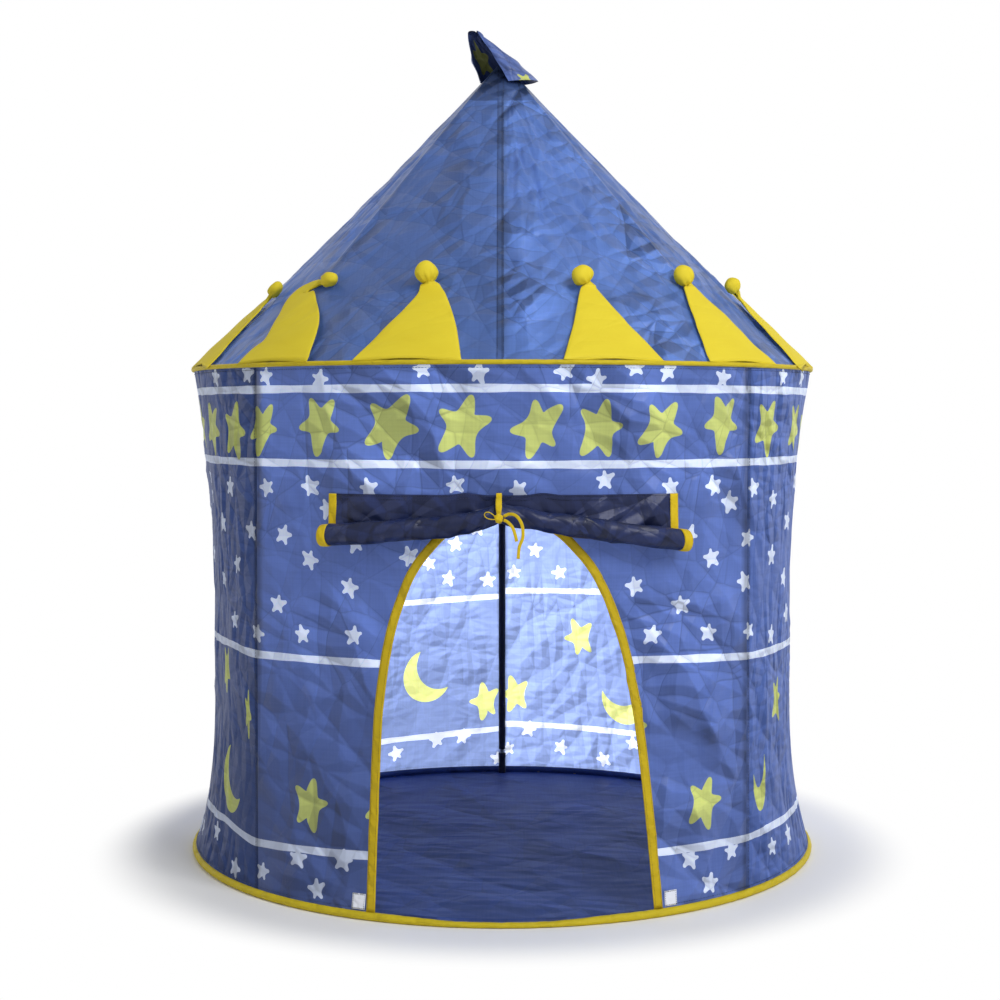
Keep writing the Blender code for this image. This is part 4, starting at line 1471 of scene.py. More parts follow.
class Wardrobe:
    """Every finish of the tent, built once."""

    def __init__(self, form: TentForm) -> None:
        """Build the materials.

        Args:
            form: the tent's form, which says where cloths are sewn double.
        """
        pole = form.pole_side * form.floor_radius
        rear = math.pi * form.floor_radius
        # Dark strips along the pole and rear seams: painted shade of the pole sleeves behind the cloth,
        # which also lies double there.
        sewn = tuple(Seam(at, 0.0030, 0.0100, 0.55) for at in (-pole, pole, -rear, rear))
        # Every cloth below carries painted shade in its folds and painted facet shading.
        front = {
            "roughness": 0.42, "shine": 0.28, "crinkle_size": 0.062, "crinkle_slope": 0.26, "seams": sewn,
            "painted_fold_shade": 0.34, "painted_facet_shading": 0.26}
        back = {
            # Back panels: painted shade cuts the light let through near the poles.
            **front, "shine": 0.05, "crinkle_turn": 0.12, "crinkle_size": 0.034, "glow_from": pole + 0.25,
            "painted_fold_shade": 0.12, "painted_facet_shading": 0.20}
        inks = (("blue", (0.087, 0.143, 0.400), (0.074, 0.125, 0.360), (0.32, 0.42, 0.75)),
                ("white", (0.72, 0.79, 0.95), (0.66, 0.74, 0.92), (0.84, 0.88, 0.96)),
                ("yellow", (0.53, 0.58, 0.160), (0.48, 0.53, 0.140), (0.84, 0.87, 0.30)))
        # Painted shade towards the bottom of the walls, for each ink.
        painted_low_shade = {"blue": 0.56, "white": 0.36, "yellow": 0.20}
        # Painted shade on the left back panel near its pole, for each ink.
        painted_left_shade = {"blue": 0.46, "white": 0.20, "yellow": 0.10}
        # The front panel lets through a quarter of the light that the back panels do: a shaded copy of the
        # same cloth, painted shade.
        self.front_wall = [ClothFinish(f"front_{ink}", colour, shade, tuple(value * 0.25 for value in glow),
                                       crinkle_left=0.85, painted_low_shade=painted_low_shade[ink], **front).material()
                           for ink, colour, shade, glow in inks]
        self.back_wall = [ClothFinish(f"back_{ink}", colour, shade, glow, painted_low_shade=painted_low_shade[ink] * 0.45,
                                      painted_left_shade=painted_left_shade[ink], **back).material()
                          for ink, colour, shade, glow in inks]
        self.roof = ClothFinish(
            "roof_blue", (0.096, 0.171, 0.430), (0.082, 0.152, 0.388), (0.07, 0.12, 0.24), 0.36, 0.15,
            # Painted shade on the roof's left half.
            0.056, 0.45, 0.9, 0.45, 0.28, painted_left_shade=0.34, painted_facet_shading=0.44,
            # Painted shade on the roof's sides beyond the poles.
            outer_from=form.pole_side * math.cos(form.slope), painted_side_shade=0.24,
            # Left of the front seam the allowance lies double, with painted shade on it; a thin dark line
            # marks the seam.
            seams=(Seam(-0.0030, 0.0045, 0.0020, 0.36), Seam(0.0, 0.0006, 0.0010, 0.7)),
            # Painted shade under the pennant, on the doubled apex patch.
            doubled_and_shaded_within=form.roof_length * 0.145).material()
        # Pennant: painted shade in its hollow.
        self.pennant = [
            ClothFinish(f"pennant_{ink}", colour, shade, (0.0, 0.0, 0.0), 0.4, 0.3, 0.03, 0.2,
                painted_inside_shade=0.62, painted_facet_shading=0.3).material() for ink, colour, shade, _ in inks]
        self.mat = ClothFinish(
            "mat_blue", (0.024, 0.047, 0.175), (0.020, 0.040, 0.152), (0.0, 0.0, 0.0), 0.5, 0.25, 0.07,
            0.08).material()
        self.door = ClothFinish(
            "door_navy", (0.0150, 0.0250, 0.090), (0.011, 0.018, 0.068), (0.0, 0.0, 0.0), 0.38, 0.25, 0.050,
            0.20, 1.1, painted_facet_shading=0.35).material()
        self.sleeve = TapeFinish(
            "sleeve_navy", (0.006, 0.006, 0.022), (0.004, 0.004, 0.015), 0.65).material()
        self.crown = TapeFinish("crown_yellow", (0.82, 0.67, 0.036), (0.77, 0.61, 0.028), 0.7, 0.0, 0.06,
                                0.08).material()
        self.binding = TapeFinish(
            "binding_yellow", (0.62, 0.45, 0.010), (0.54, 0.38, 0.008), 0.6, 0.0).material()
        self.hem = TapeFinish(
            "hem_yellow", (0.66, 0.52, 0.018), (0.54, 0.42, 0.013), 0.6, 0.0, 0.016).material()
        self.tie = TapeFinish("tie_yellow", (0.74, 0.54, 0.012), (0.66, 0.46, 0.008), 0.6, 0.0).material()
        self.patch = TapeFinish("patch_white", (0.88, 0.91, 1.0), (0.84, 0.87, 0.97), 0.6).material()
        self.navy_thread = TapeFinish(
            "thread_navy", (0.020, 0.034, 0.110), (0.016, 0.028, 0.095), 0.6).material()
        self.yellow_thread = TapeFinish(
            "thread_yellow", (0.46, 0.31, 0.010), (0.38, 0.25, 0.008), 0.6).material()
        self.pole = HardFinish("pole_grey", (0.17, 0.17, 0.18), (0.26, 0.26, 0.27), 0.38).material()
        self.wire = HardFinish("wire_steel", (0.42, 0.42, 0.44), (0.30, 0.29, 0.28), 0.35, 1.0).material()
        self.ferrule = HardFinish(
            "ferrule_metal", (0.60, 0.60, 0.62), (0.48, 0.48, 0.49), 0.30, 1.0).material()
        self.fitting = HardFinish("fitting_black", (0.020, 0.020, 0.022), (0.045, 0.045, 0.047), 0.45, 0.0,
                                  (1.0, 1.0, 1.0), 1400.0).material()


# Stitches


@dataclass(frozen=True)
class Stitching:
    """Rows of stitches along lines, made by one Geometry Nodes tree."""

    pitch: float = 0.0046
    length: float = 0.0031
    thread: float = 0.00030

    def tree(self) -> Tree:
        """Build the tree: lines to points, a stitch at each, made real and given its thread."""
        name = "stitch rows"
        if name in bpy.data.node_groups:
            return bpy.data.node_groups[name]
        tree = bpy.data.node_groups.new(name, "GeometryNodeTree")
        tree.interface.new_socket("Geometry", in_out="INPUT", socket_type="NodeSocketGeometry")
        for label, value in (
                ("Pitch", self.pitch), ("Stitch Length", self.length), ("Thread Radius", self.thread)):
            tree.interface.new_socket(label, in_out="INPUT", socket_type=FLOAT).default_value = value
        tree.interface.new_socket("Thread", in_out="INPUT", socket_type="NodeSocketMaterial")
        tree.interface.new_socket("Geometry", in_out="OUTPUT", socket_type="NodeSocketGeometry")
        given = tree.nodes.new("NodeGroupInput").outputs
        line = node(tree, "GeometryNodeMeshToCurve", {0: given["Geometry"]}).outputs[0]
        spots = node(
            tree, "GeometryNodeCurveToPoints", {"Curve": line, "Length": given["Pitch"]}, mode="LENGTH")
        bar = node(tree, "GeometryNodeMeshCylinder", {"Vertices": 5, "Radius": given["Thread Radius"],
                                                      "Depth": given["Stitch Length"]}).outputs[0]
        jitter = node(
            tree, "FunctionNodeRandomValue", {2: 0.8, 3: 1.15, "Seed": 3}, data_type="FLOAT").outputs[1]
        turn = node(
            tree, "FunctionNodeAlignRotationToVector", {"Vector": spots.outputs["Tangent"]}, axis="Z")
        placed = node(
            tree, "GeometryNodeInstanceOnPoints", {"Points": spots.outputs["Points"], "Instance": bar,
                "Rotation": turn.outputs[0], "Scale": jitter})
        real = node(tree, "GeometryNodeRealizeInstances", {0: placed.outputs[0]}).outputs[0]
        dressed = node(
            tree, "GeometryNodeSetMaterial", {"Geometry": real, "Material": given["Thread"]}).outputs[0]
        tree.links.new(dressed, tree.nodes.new("NodeGroupOutput").inputs[0])
        return tree

    def sew(self, name: str, lines: Iterable[Array], thread: Material) -> Object:
        """Sew rows of stitches along lines.

        Args:
            name: the piece's name.
            lines: rows of points, one array for each line.
            thread: the thread's material.

        Returns:
            The stitches as one plain mesh.
        """
        points, edges = [], []
        for line in lines:
            first = len(points)
            points += np.asarray(line).tolist()
            edges += [(first + i, first + i + 1) for i in range(len(line) - 1)]
        guide_mesh = bpy.data.meshes.new(name + "_line")
        guide_mesh.from_pydata(points, edges, [])
        guide = linked(name + "_line", guide_mesh)
        rows = guide.modifiers.new("stitches", "NODES")
        rows.node_group = self.tree()
        sockets = {item.name: item.identifier for item in rows.node_group.interface.items_tree
                   if item.in_out == "INPUT"}
        rows[sockets["Pitch"]] = self.pitch
        rows[sockets["Stitch Length"]] = self.length
        rows[sockets["Thread Radius"]] = self.thread
        rows[sockets["Thread"]] = thread
        evaluated = guide.evaluated_get(bpy.context.evaluated_depsgraph_get())
        mesh = bpy.data.meshes.new_from_object(evaluated)
        mesh.name = name
        bpy.data.objects.remove(guide, do_unlink=True)
        if not mesh.uv_layers:
            mesh.uv_layers.new(name=FLAT_MAP)
        mesh.uv_layers[0].name = FLAT_MAP
        return linked(name, mesh)


def dress(
        piece: Object, body: str, slot: str, *nodes: str,
        bend: tuple[Point, Point] | None = None) -> Object:
    """Put a piece on its body, or bake its place in where a bend is given; hide the CAD nodes it stands for.

    Args:
        piece: the finished piece.
        body: the body that it moves with, where no bend is given.
        slot: not used.
        nodes: CAD nodes that it stands for.
        bend: two points; where given, the piece is put on no body, and the points are not used.

    Returns:
        The piece.
    """
    if bend:
        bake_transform(piece)
    else:
        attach(piece, body)
    if nodes:
        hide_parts(*nodes)
    log.info("%s: %d faces on %s", piece.name, len(piece.data.polygons), body)
    return piece


# Sub-assemblies


@dataclass
class Walls:
    """The three printed wall panels with their seams."""

    form: TentForm
    relief: WallRelief
    finishes: Wardrobe
    front_spacing: float = 0.0046
    back_spacing: float = 0.0060
    binding_half: float = 0.0065
    seam_offset: float = 0.006
    doorway_area: float = 0.195
    seam_end: float = 0.002
    hem_stitch: float = 0.004

    def panel(self, name: str, start: float, end: float, motifs: Sequence[Motif], doorway: bool) -> Object:
        """One printed panel.

        Args:
            name: the CAD node that it stands for.
            start: angle of its first edge.
            end: angle of its last edge.
            motifs: the print.
            doorway: whether the arch is cut in it.

        Returns:
            The panel.
        """
        form = self.form
        radius, spacing = form.floor_radius, self.front_spacing if doorway else self.back_spacing
        us = np.linspace(start * radius, end * radius, round((end - start) * radius / spacing) + 1)
        vs = np.linspace(
            form.wall_foot, form.wall_top, round((form.wall_top - form.wall_foot) / spacing) + 1)
        foot = [(u, form.wall_foot) for u in us]
        if doorway:
            line = form.arch_line(self.binding_half - 0.001, 70)
            line[:, 1] = np.maximum(line[:, 1], form.wall_foot)
            arch = [(a * radius, v) for a, v in zip(form.angle_at(line[:, 0], line[:, 1]), line[:, 1])]
            kept = [arch[0]]
            for place in arch[1:]:
                if math.dist(place, kept[-1]) > spacing * 0.4:
                    kept.append(place)
            left = [place for place in foot if place[0] < kept[0][0] - spacing * 0.3]
            right = [place for place in foot if place[0] > kept[-1][0] + spacing * 0.3]
            foot = [*left, *kept, *right]
        edge = [(us[-1], v) for v in vs[1:-1]]
        top = [(u, form.wall_top) for u in reversed(us)]
        back = [(us[0], v) for v in reversed(vs[1:-1])]
        sheet = PrintedSheet(tuple([*foot, *edge, *top, *back]), tuple(motifs), spacing)

        def place(u: Array, v: Array) -> Array:
            """Flat place to a point on the creased wall."""
            return self.relief.point(u / radius, v)

        return sheet.build(
            name + "_cloth", place, self.finishes.front_wall if doorway else self.finishes.back_wall)

    def build(self) -> None:
        """Build the panels and sew their seams."""
        form = self.form
        motifs = WallPrint().motifs(form.floor_radius)
        side = form.pole_side
        tall = form.wall_top - form.wall_foot
        spans = {
            "wall_front": (-side, side), "wall_back_right": (side, math.pi),
            "wall_back_left": (-math.pi, -side)}
        for name, (start, end) in spans.items():
            doorway = name == "wall_front"
            piece = dress(self.panel(name, start, end, motifs, doorway), "tent", "wall_cloth", name)
            wide = (end - start) * form.floor_radius
            area = wide * tall - (self.doorway_area if doorway else 0.0)
        heights = np.linspace(form.wall_foot + self.seam_end, form.wall_top - self.seam_end, 180)
        lines = []
        for angle in (-side, side, math.pi):
            at = angle + math.copysign(self.seam_offset / form.floor_radius, angle)
            lines.append(self.relief.point(np.full_like(heights, at), heights, 0.0002))
        around = np.linspace(-math.pi, math.pi, 720)
        foot = form.wall_foot + self.hem_stitch
        low, high = form.angle_at(form.arch_line(self.binding_half, 70)[[0, -1], 0], np.full(2, foot))
        for angle, height in ((around[around < low], foot), (around[around > high], foot),
                              (around, form.wall_top - self.hem_stitch)):
            lines.append(self.relief.point(angle, np.full_like(angle, height), 0.0003))
        dress(Stitching().sew("wall_stitches", lines, self.finishes.navy_thread), "tent", "wall_cloth")


@dataclass
class Roof:
    """Conical roof with its lapped front seam, pole ridges and crumpled right half."""

    form: TentForm
    finishes: Wardrobe
    columns: int = 460
    rows: int = 120
    ridge: float = 0.0022
    ridge_width: float = 0.007
    band_width: float = 0.008
    tape_width: float = 0.014
    tape_ends: Flat = (0.03, 0.9)
    wave: float = 0.0007
    wave_length: float = 0.13
    flat_height: float = 1.596
    held_foot: float = 0.03
    held_top: float = 0.35
    held_beside: float = 0.025
    wave_foot: float = 0.05
    calm_top: float = 3
    ridge_foot: float = 0.06
    ridge_top: float = 0.12
    last_share: float = 0.9995
    stitch_ends: Flat = (0.01, 0.985)
    creases: Creases = field(init=False)

    def __post_init__(self) -> None:
        """Sow the roof's creases over angle and slant distance, both in metres at the hoop."""
        half = self.form.roof_foot_radius
        any_way, steep = degrees(0, 180), degrees(62, 98)
        upright, broad = degrees(55, 125), degrees(40, 140)
        deep, usual = 0.0034, 0.0026
        self.creases = Creases(53, (
            Sowing(70, (0.02 * half, 0.62 * half), (0.04, 0.6), (0.05, 0.17), any_way, deep, (0.007, 0.018)),
            Sowing(44, (0.0, 0.3 * half), (0.10, 0.66), (0.05, 0.15), upright, deep, (0.006, 0.014)),
            Sowing(16, (-0.78 * half, 0.0), (0.02, 0.55), (0.08, 0.22), broad, 0.0014, (0.012, 0.026)),
            Sowing(60, (0.8 * half, 3.1 * half), (0.02, 0.6), (0.06, 0.2), any_way, usual, (0.008, 0.020)),
            Sowing(60, (-3.1 * half, -0.8 * half), (0.02, 0.6), (0.06, 0.2), any_way, usual, (0.008, 0.020)),
            Sowing(26, (0.7 * half, 1.3 * half), (0.05, 0.6), (0.10, 0.26), steep, usual, (0.006, 0.012)),
            Sowing(18, (-1.3 * half, -0.7 * half), (0.05, 0.6), (0.10, 0.26), steep, 0.0024, (0.006, 0.012)),
        ), ((0.05 * half, 0.08, 0.16 * half, 0.60, 0.003, 0.012),
            (0.42 * half, 0.02, 0.20 * half, 0.40, -0.0025, 0.014)))
        self.length = self.form.roof_length

    def point(self, angle: Array, share: Array, out: Array = 0.0) -> Array:
        """Points on the creased roof, or out from it.

        Args:
            angle: angles round the tent.
            share: 0 at the hoop to 1 at the apex.
            out: distance out from the cloth.

        Returns:
            Points as rows.
        """
        form = self.form
        at = turned(angle)
        narrowing = 1 - share
        raw = self.creases.heights(at * form.roof_foot_radius, share * self.length)
        raw = raw * smoothstep(0.0, self.held_foot, share * self.length)
        raw = raw * smoothstep(0.0, self.held_top, narrowing)
        waves = ripples(8, at * form.roof_foot_radius, share * self.length, self.wave_length)
        raw = raw + self.wave * waves * smoothstep(0, self.wave_foot, share)
        raw = raw * np.minimum(1.0, narrowing * self.calm_top)
        across, back = form.panel_share(at)
        to_pole = (1 - across) * np.where(back, (math.pi - form.pole_side) / 2, form.pole_side)
        metres = to_pole * form.roof_foot_radius * narrowing
        raw = raw * smoothstep(0.0, self.held_beside, metres)
        bump = np.exp(-(metres / self.ridge_width) ** 2) * self.ridge
        bump = bump * smoothstep(0.0, self.ridge_foot, share)
        bump = bump * smoothstep(0.0, self.ridge_top, narrowing)
        return form.roof(at, share, raw + bump + out)

    def build(self) -> None:
        """Build the roof, its tape and its stitches."""
        form = self.form
        shares = np.linspace(0, 1, self.rows)
        shares[-1] = self.last_share
        angles = np.linspace(-math.pi, math.pi, self.columns + 1)
        angle, share = np.meshgrid(angles, shares)
        points = self.point(angle, share)
        slant = self.length * (1 - share)
        turn = angle * math.cos(form.slope)
        flat = np.stack([slant * np.sin(turn), slant * np.cos(turn)], axis=-1)
        points[:, -1] = points[:, 0]
        roof = grid_piece("roof_cloth", points[:, :-1], flat, [self.finishes.roof], closed=True)
        dress(roof, "tent", "roof_cloth", "roof_cone")
        area = math.pi * form.roof_foot_radius * self.length
        self.length * self.flat_height
        low, high = self.tape_ends
        wide, tall = np.meshgrid(np.linspace(-0.5, 0.5, 5), np.linspace(low, high, 60))
        at = wide * self.tape_width / (form.roof_foot_radius * (1 - tall))
        tape = grid_piece(
            "seam_tape", self.point(at, tall, -form.cloth - form.gap * 2),
            np.stack([wide * self.tape_width, tall * self.length], axis=-1), [self.finishes.sleeve])
        dress(tape, "tent", "door_navy", "roof_seam_tape")
        (high - low) * self.length
        lines = []
        run = np.linspace(*self.stitch_ends, 170)
        radius = form.roof_foot_radius * (1 - run)
        for offset in (0.002, -self.band_width + 0.001):
            lines.append(self.point(offset / radius, run, 0.0003))
        dress(Stitching().sew("roof_stitches", lines, self.finishes.navy_thread), "tent", "roof_cloth")


@dataclass
class Hems:
    """The two yellow hoop sleeves and the binding round the doorway."""

    form: TentForm
    relief: WallRelief
    finishes: Wardrobe
    columns: int = 480
    sides: int = 16
    binding_width: float = 0.013
    binding_thickness: float = 0.0024
    trodden: float = 0.32
    puckers: int = 14
    pucker_waves: tuple[int, int] = (20, 210)
    pucker_depth: float = 0.012
    sill_ends: Flat = degrees(6.0, 19.0)

    def hoop(self, name: str, radius: float, height: float, thick: float, seed: int, node_name: str,
             trodden: float = 0.0) -> None:
        """One hoop sleeve.

        Args:
            name: the piece's name.
            radius: radius of the hoop.
            height: height of the hoop.
            thick: radius of the sleeve.
            seed: what its puckers are drawn from.
            node_name: the CAD node that it stands for.
            trodden: share by which the doorway's sill is flattened.
        """
        angle, swing = np.meshgrid(full_turn(self.columns), full_turn(self.sides))
        pucker = np.zeros_like(angle)
        rng = random.Random(seed)
        for _ in range(self.puckers):
            waves = rng.randint(*self.pucker_waves)
            pucker += np.sin(angle * waves + rng.uniform(0, 6) + 2 * np.sin(swing)) * rng.uniform(0.2, 1.0)
        reach = thick * (1 + self.pucker_depth * pucker)
        low = 1 - trodden * (1 - smoothstep(*self.sill_ends, np.abs(turned(angle))))
        points = polar(angle, radius + reach * np.cos(swing), low * (height + reach * np.sin(swing)))
        flat = lattice(np.linspace(0, math.tau * thick, self.sides + 1),
                       np.linspace(0, math.tau * radius, self.columns + 1))
        piece = ring_piece(name, points.transpose(1, 0, 2), flat, self.finishes.hem, -1)
        dress(piece, "tent", "binding_yellow", node_name)

    def binding(self) -> None:
        """The tape round the arch, folded over the wall's edge, with its two rows of stitches."""
        form = self.form
        half = self.binding_width / 2
        offsets = np.linspace(-half, half, 7)
        lines = []
        for offset in offsets:
            line = form.arch_line(offset, 90)
            line[:, 1] = np.maximum(line[:, 1], form.wall_foot)
            angle = form.angle_at(line[:, 0], line[:, 1])
            lines.append(self.relief.point(angle, line[:, 1], -form.cloth / 2))
        points = np.stack(lines, axis=1)[:, ::-1]
        flat = lattice(offsets[::-1], run_along(points[:, 3]))
        tape = shell_piece(
            "doorway_binding", points, flat, self.binding_thickness, self.finishes.binding, 0.15)
        dress(tape, "tent", "binding_yellow", "arch_binding")
        rows = []
        outer_inset, inner_inset = 0.002, 0.0025
        on_top = self.binding_thickness / 2 - form.cloth / 2 + 0.0001
        for offset in (half - outer_inset, -half + inner_inset):
            line = form.arch_line(offset, 90)
            keep = line[:, 1] > form.wall_foot
            angle = form.angle_at(line[keep, 0], line[keep, 1])
            rows.append(self.relief.point(angle, line[keep, 1], on_top))
        stitches = Stitching(pitch=0.004, length=0.0027)
        dress(stitches.sew("binding_stitches", rows, self.finishes.yellow_thread), "tent", "binding_yellow")

    def build(self) -> None:
        """Build both hoop sleeves and the binding."""
        form = self.form
        self.hoop(
            "floor_sleeve", form.floor_radius, form.floor_hem_radius, form.floor_hem_radius, 3, "floor_hem",
            self.trodden)
        self.hoop(
            "crown_sleeve", form.crown_radius, form.crown_height, form.crown_hem_radius, 9, "crown_hem")
        self.binding()


@dataclass
class DoorCloth:
    """The door cloth rolled up over the arch, with its yellow edges and stitch row."""

    form: TentForm
    finishes: Wardrobe
    stitch_height: float = 0.617
    stitch_ends: Flat = degrees(-29.5, 30.0)
    roll_ends: Flat = degrees(-29.4, 30.3)
    tie_angle: float = math.radians(-0.5)
    roll_radius: float = 0.0165
    roll_turns: float = 2.5
    roll_pitch: float = 0.0020
    roll_middle: float = 0.0201
    low_left: float = 0.5545
    low_right: float = 0.5470
    high: float = 0.5920
    bow_power: Flat = (0.5, 0.8)
    flap_out: float = 0.0019
    top_drop: float = 0.0030
    top_bumps: Flat = degrees(-5.7, 6.8)
    bump_width: float = 0.035
    stitch_drops: Flat = (0.0025, 0.0075)
    edge_width: float = 0.013
    pull_fade: float = 0.16
    pull_waves: Flat = (130, 60)
    pull_depth: float = 0.0008
    wave: float = 0.0009
    wave_length: float = 0.10
    wave_stretch: float = 2.2
    calm_turns: Flat = (1.4, 0.9)
    wrinkle_share: float = 0.8
    columns: int = 220
    flap_rows: int = 14
    roll_rows: int = 90

    def roll_height(self, angle: Array) -> Array:
        """Height of the roll's middle, bowed up where the tie holds it."""
        left = angle < self.tie_angle
        low = np.where(left, self.low_left, self.low_right)
        end = np.where(left, self.roll_ends[0], self.roll_ends[1])
        across = np.abs((angle - self.tie_angle) / (end - self.tie_angle))
        return self.high + (low - self.high) * across ** np.where(left, *self.bow_power)

    def top(self, angle: Array) -> Array:
        """Height of the cloth's stitched edge, pulled up a little on both sides of the tie."""
        bumps = sum(np.exp(-((angle - at) / self.bump_width) ** 2) for at in self.top_bumps)
        return self.stitch_height - self.top_drop * (1 - np.minimum(1, bumps))

    def section(self, angle: Array) -> tuple[Array, Array, Array]:
        """The cloth's section at each angle: down the wall, then rolled up outwards.

        Args:
            angle: angles round the tent, one column each.

        Returns:
            Distance out from the wall, height and run along the cloth, rows by columns.
        """
        middle = self.roll_height(angle)[None, :]
        turn = np.linspace(0, self.roll_turns, self.roll_rows)[:, None]
        radius = self.roll_radius - self.roll_pitch * turn
        swing = math.pi + math.tau * turn
        out = self.roll_middle + radius * np.cos(swing) + 0 * middle
        height = middle + radius * np.sin(swing)
        drop = np.linspace(0, 1, self.flap_rows, endpoint=False)[:, None]
        top_out, top_height = self.flap_out, self.top(angle)[None, :]
        flap_out = top_out + (out[:1] - top_out) * smoothstep(0, 1, drop)
        flap_height = top_height + (height[:1] - top_height) * drop
        out = np.concatenate([flap_out, out])
        height = np.concatenate([flap_height, height])
        step = np.hypot(np.diff(out, axis=0), np.diff(height, axis=0))
        run = np.concatenate([np.zeros((1, out.shape[1])), np.cumsum(step, axis=0)])
        return out, height, run

    def cloth(self, start: Flat, columns: int, lift: float, wrinkled: bool) -> tuple[Array, Array]:
        """Points of the cloth between two shares of its width.

        Args:
            start: first and last angle at the stitch line as shares of its width.
            columns: columns of points.
            lift: how far the points stand off the drawn cloth.
            wrinkled: whether the pull of the tie shows.

        Returns:
            Points and flat places, rows by columns.
        """
        share = np.linspace(*start, columns)
        stitch = self.stitch_ends[0] + (self.stitch_ends[1] - self.stitch_ends[0]) * share
        rolled = self.roll_ends[0] + (self.roll_ends[1] - self.roll_ends[0]) * share
        out, height, run = self.section(rolled)
        lean_to = self.flap_rows + self.roll_rows * 0.12
        lean = smoothstep(self.flap_rows, lean_to, np.arange(len(out)))[:, None]
        angle = stitch[None, :] * (1 - lean) + rolled[None, :] * lean
        base = self.form.wall_radius(angle, np.full_like(angle, self.stitch_height))
        points = polar(angle, base + out, height)
        u = angle * self.form.crown_radius
        flat = np.stack([u, -run], axis=-1)
        normal = sheet_normals(points[::-1])[::-1]
        if wrinkled:
            tie = np.exp(-np.abs(angle - self.tie_angle) / self.pull_fade)
            fan = np.sin(u * self.pull_waves[0] + run * self.pull_waves[1]) * tie * self.pull_depth
            slow = ripples(21, u, run * self.wave_stretch, self.wave_length) * self.wave
            left, right, steep = degrees(15, 50), degrees(130, 165), degrees(60, 120)
            creases = Creases(77, (
                Sowing(30, (-0.26, -0.02), (0.0, 0.30), (0.05, 0.16), left, 0.0030, (0.005, 0.012)),
                Sowing(30, (0.02, 0.27), (0.0, 0.30), (0.05, 0.16), right, 0.0030, (0.005, 0.012)),
                Sowing(20, (-0.27, 0.27), (0.0, 0.30), (0.04, 0.10), steep, 0.0014, (0.006, 0.012)),
            )).heights(u, run)
            near = smoothstep(0.0, 0.012, run)
            rolled_rows = np.clip(np.arange(len(out)) - self.flap_rows, 0, None)[:, None]
            low, high = (self.roll_turns - turns for turns in self.calm_turns)
            inner = 1 - smoothstep(low, high, rolled_rows / self.roll_rows * self.roll_turns)
            wrinkles = (fan + slow + creases) * near * inner * self.wrinkle_share
            points = points + normal * wrinkles[..., None]
        return points + normal * lift, flat

    def build(self) -> None:
        """Build the cloth, its edges and the stitch row."""
        form = self.form
        wide = self.stitch_ends[1] - self.stitch_ends[0]
        edge = self.edge_width / form.crown_radius / wide
        points, flat = self.cloth((edge, 1 - edge), self.columns, 0.0, True)
        cloth = grid_piece("rolled_door", points[::-1], flat[::-1], [self.finishes.door])
        sides = []
        for name, span in (("door_edge_left", (0.0, edge)), ("door_edge_right", (1 - edge, 1.0))):
            points, flat = self.cloth(span, 7, 0.0, False)
            sides.append((name, shell_piece(name + "_tape", points[::-1], flat[::-1], form.cloth * 1.3,
                                            self.finishes.tie)))
        start = (0.0, -self.form.wall_radius(0.0, self.stitch_height), self.stitch_height)
        bend = (start, (0.0, start[1], self.high))
        for name, piece in (("door_cloth", cloth), *sides):
            slot = "door_navy" if piece is cloth else "binding_yellow"
            dress(piece, "door_roll", slot, name, bend=bend)
        across = wide * (1 - 2 * edge) * form.crown_radius
        down = float(np.mean(self.section(np.linspace(*self.roll_ends, 30))[2][-1]))
        share = np.linspace(0.004, 0.996, 200)
        angle = self.stitch_ends[0] + wide * share
        lines = []
        for drop in self.stitch_drops:
            base = form.wall_radius(angle, np.full_like(angle, self.stitch_height))
            lines.append(polar(angle, base + self.flap_out + 0.0003, self.top(angle) - drop))
        stitches = Stitching(pitch=0.0038, length=0.0026)
        dress(stitches.sew("door_stitches", lines, self.finishes.navy_thread), "tent", "door_navy")


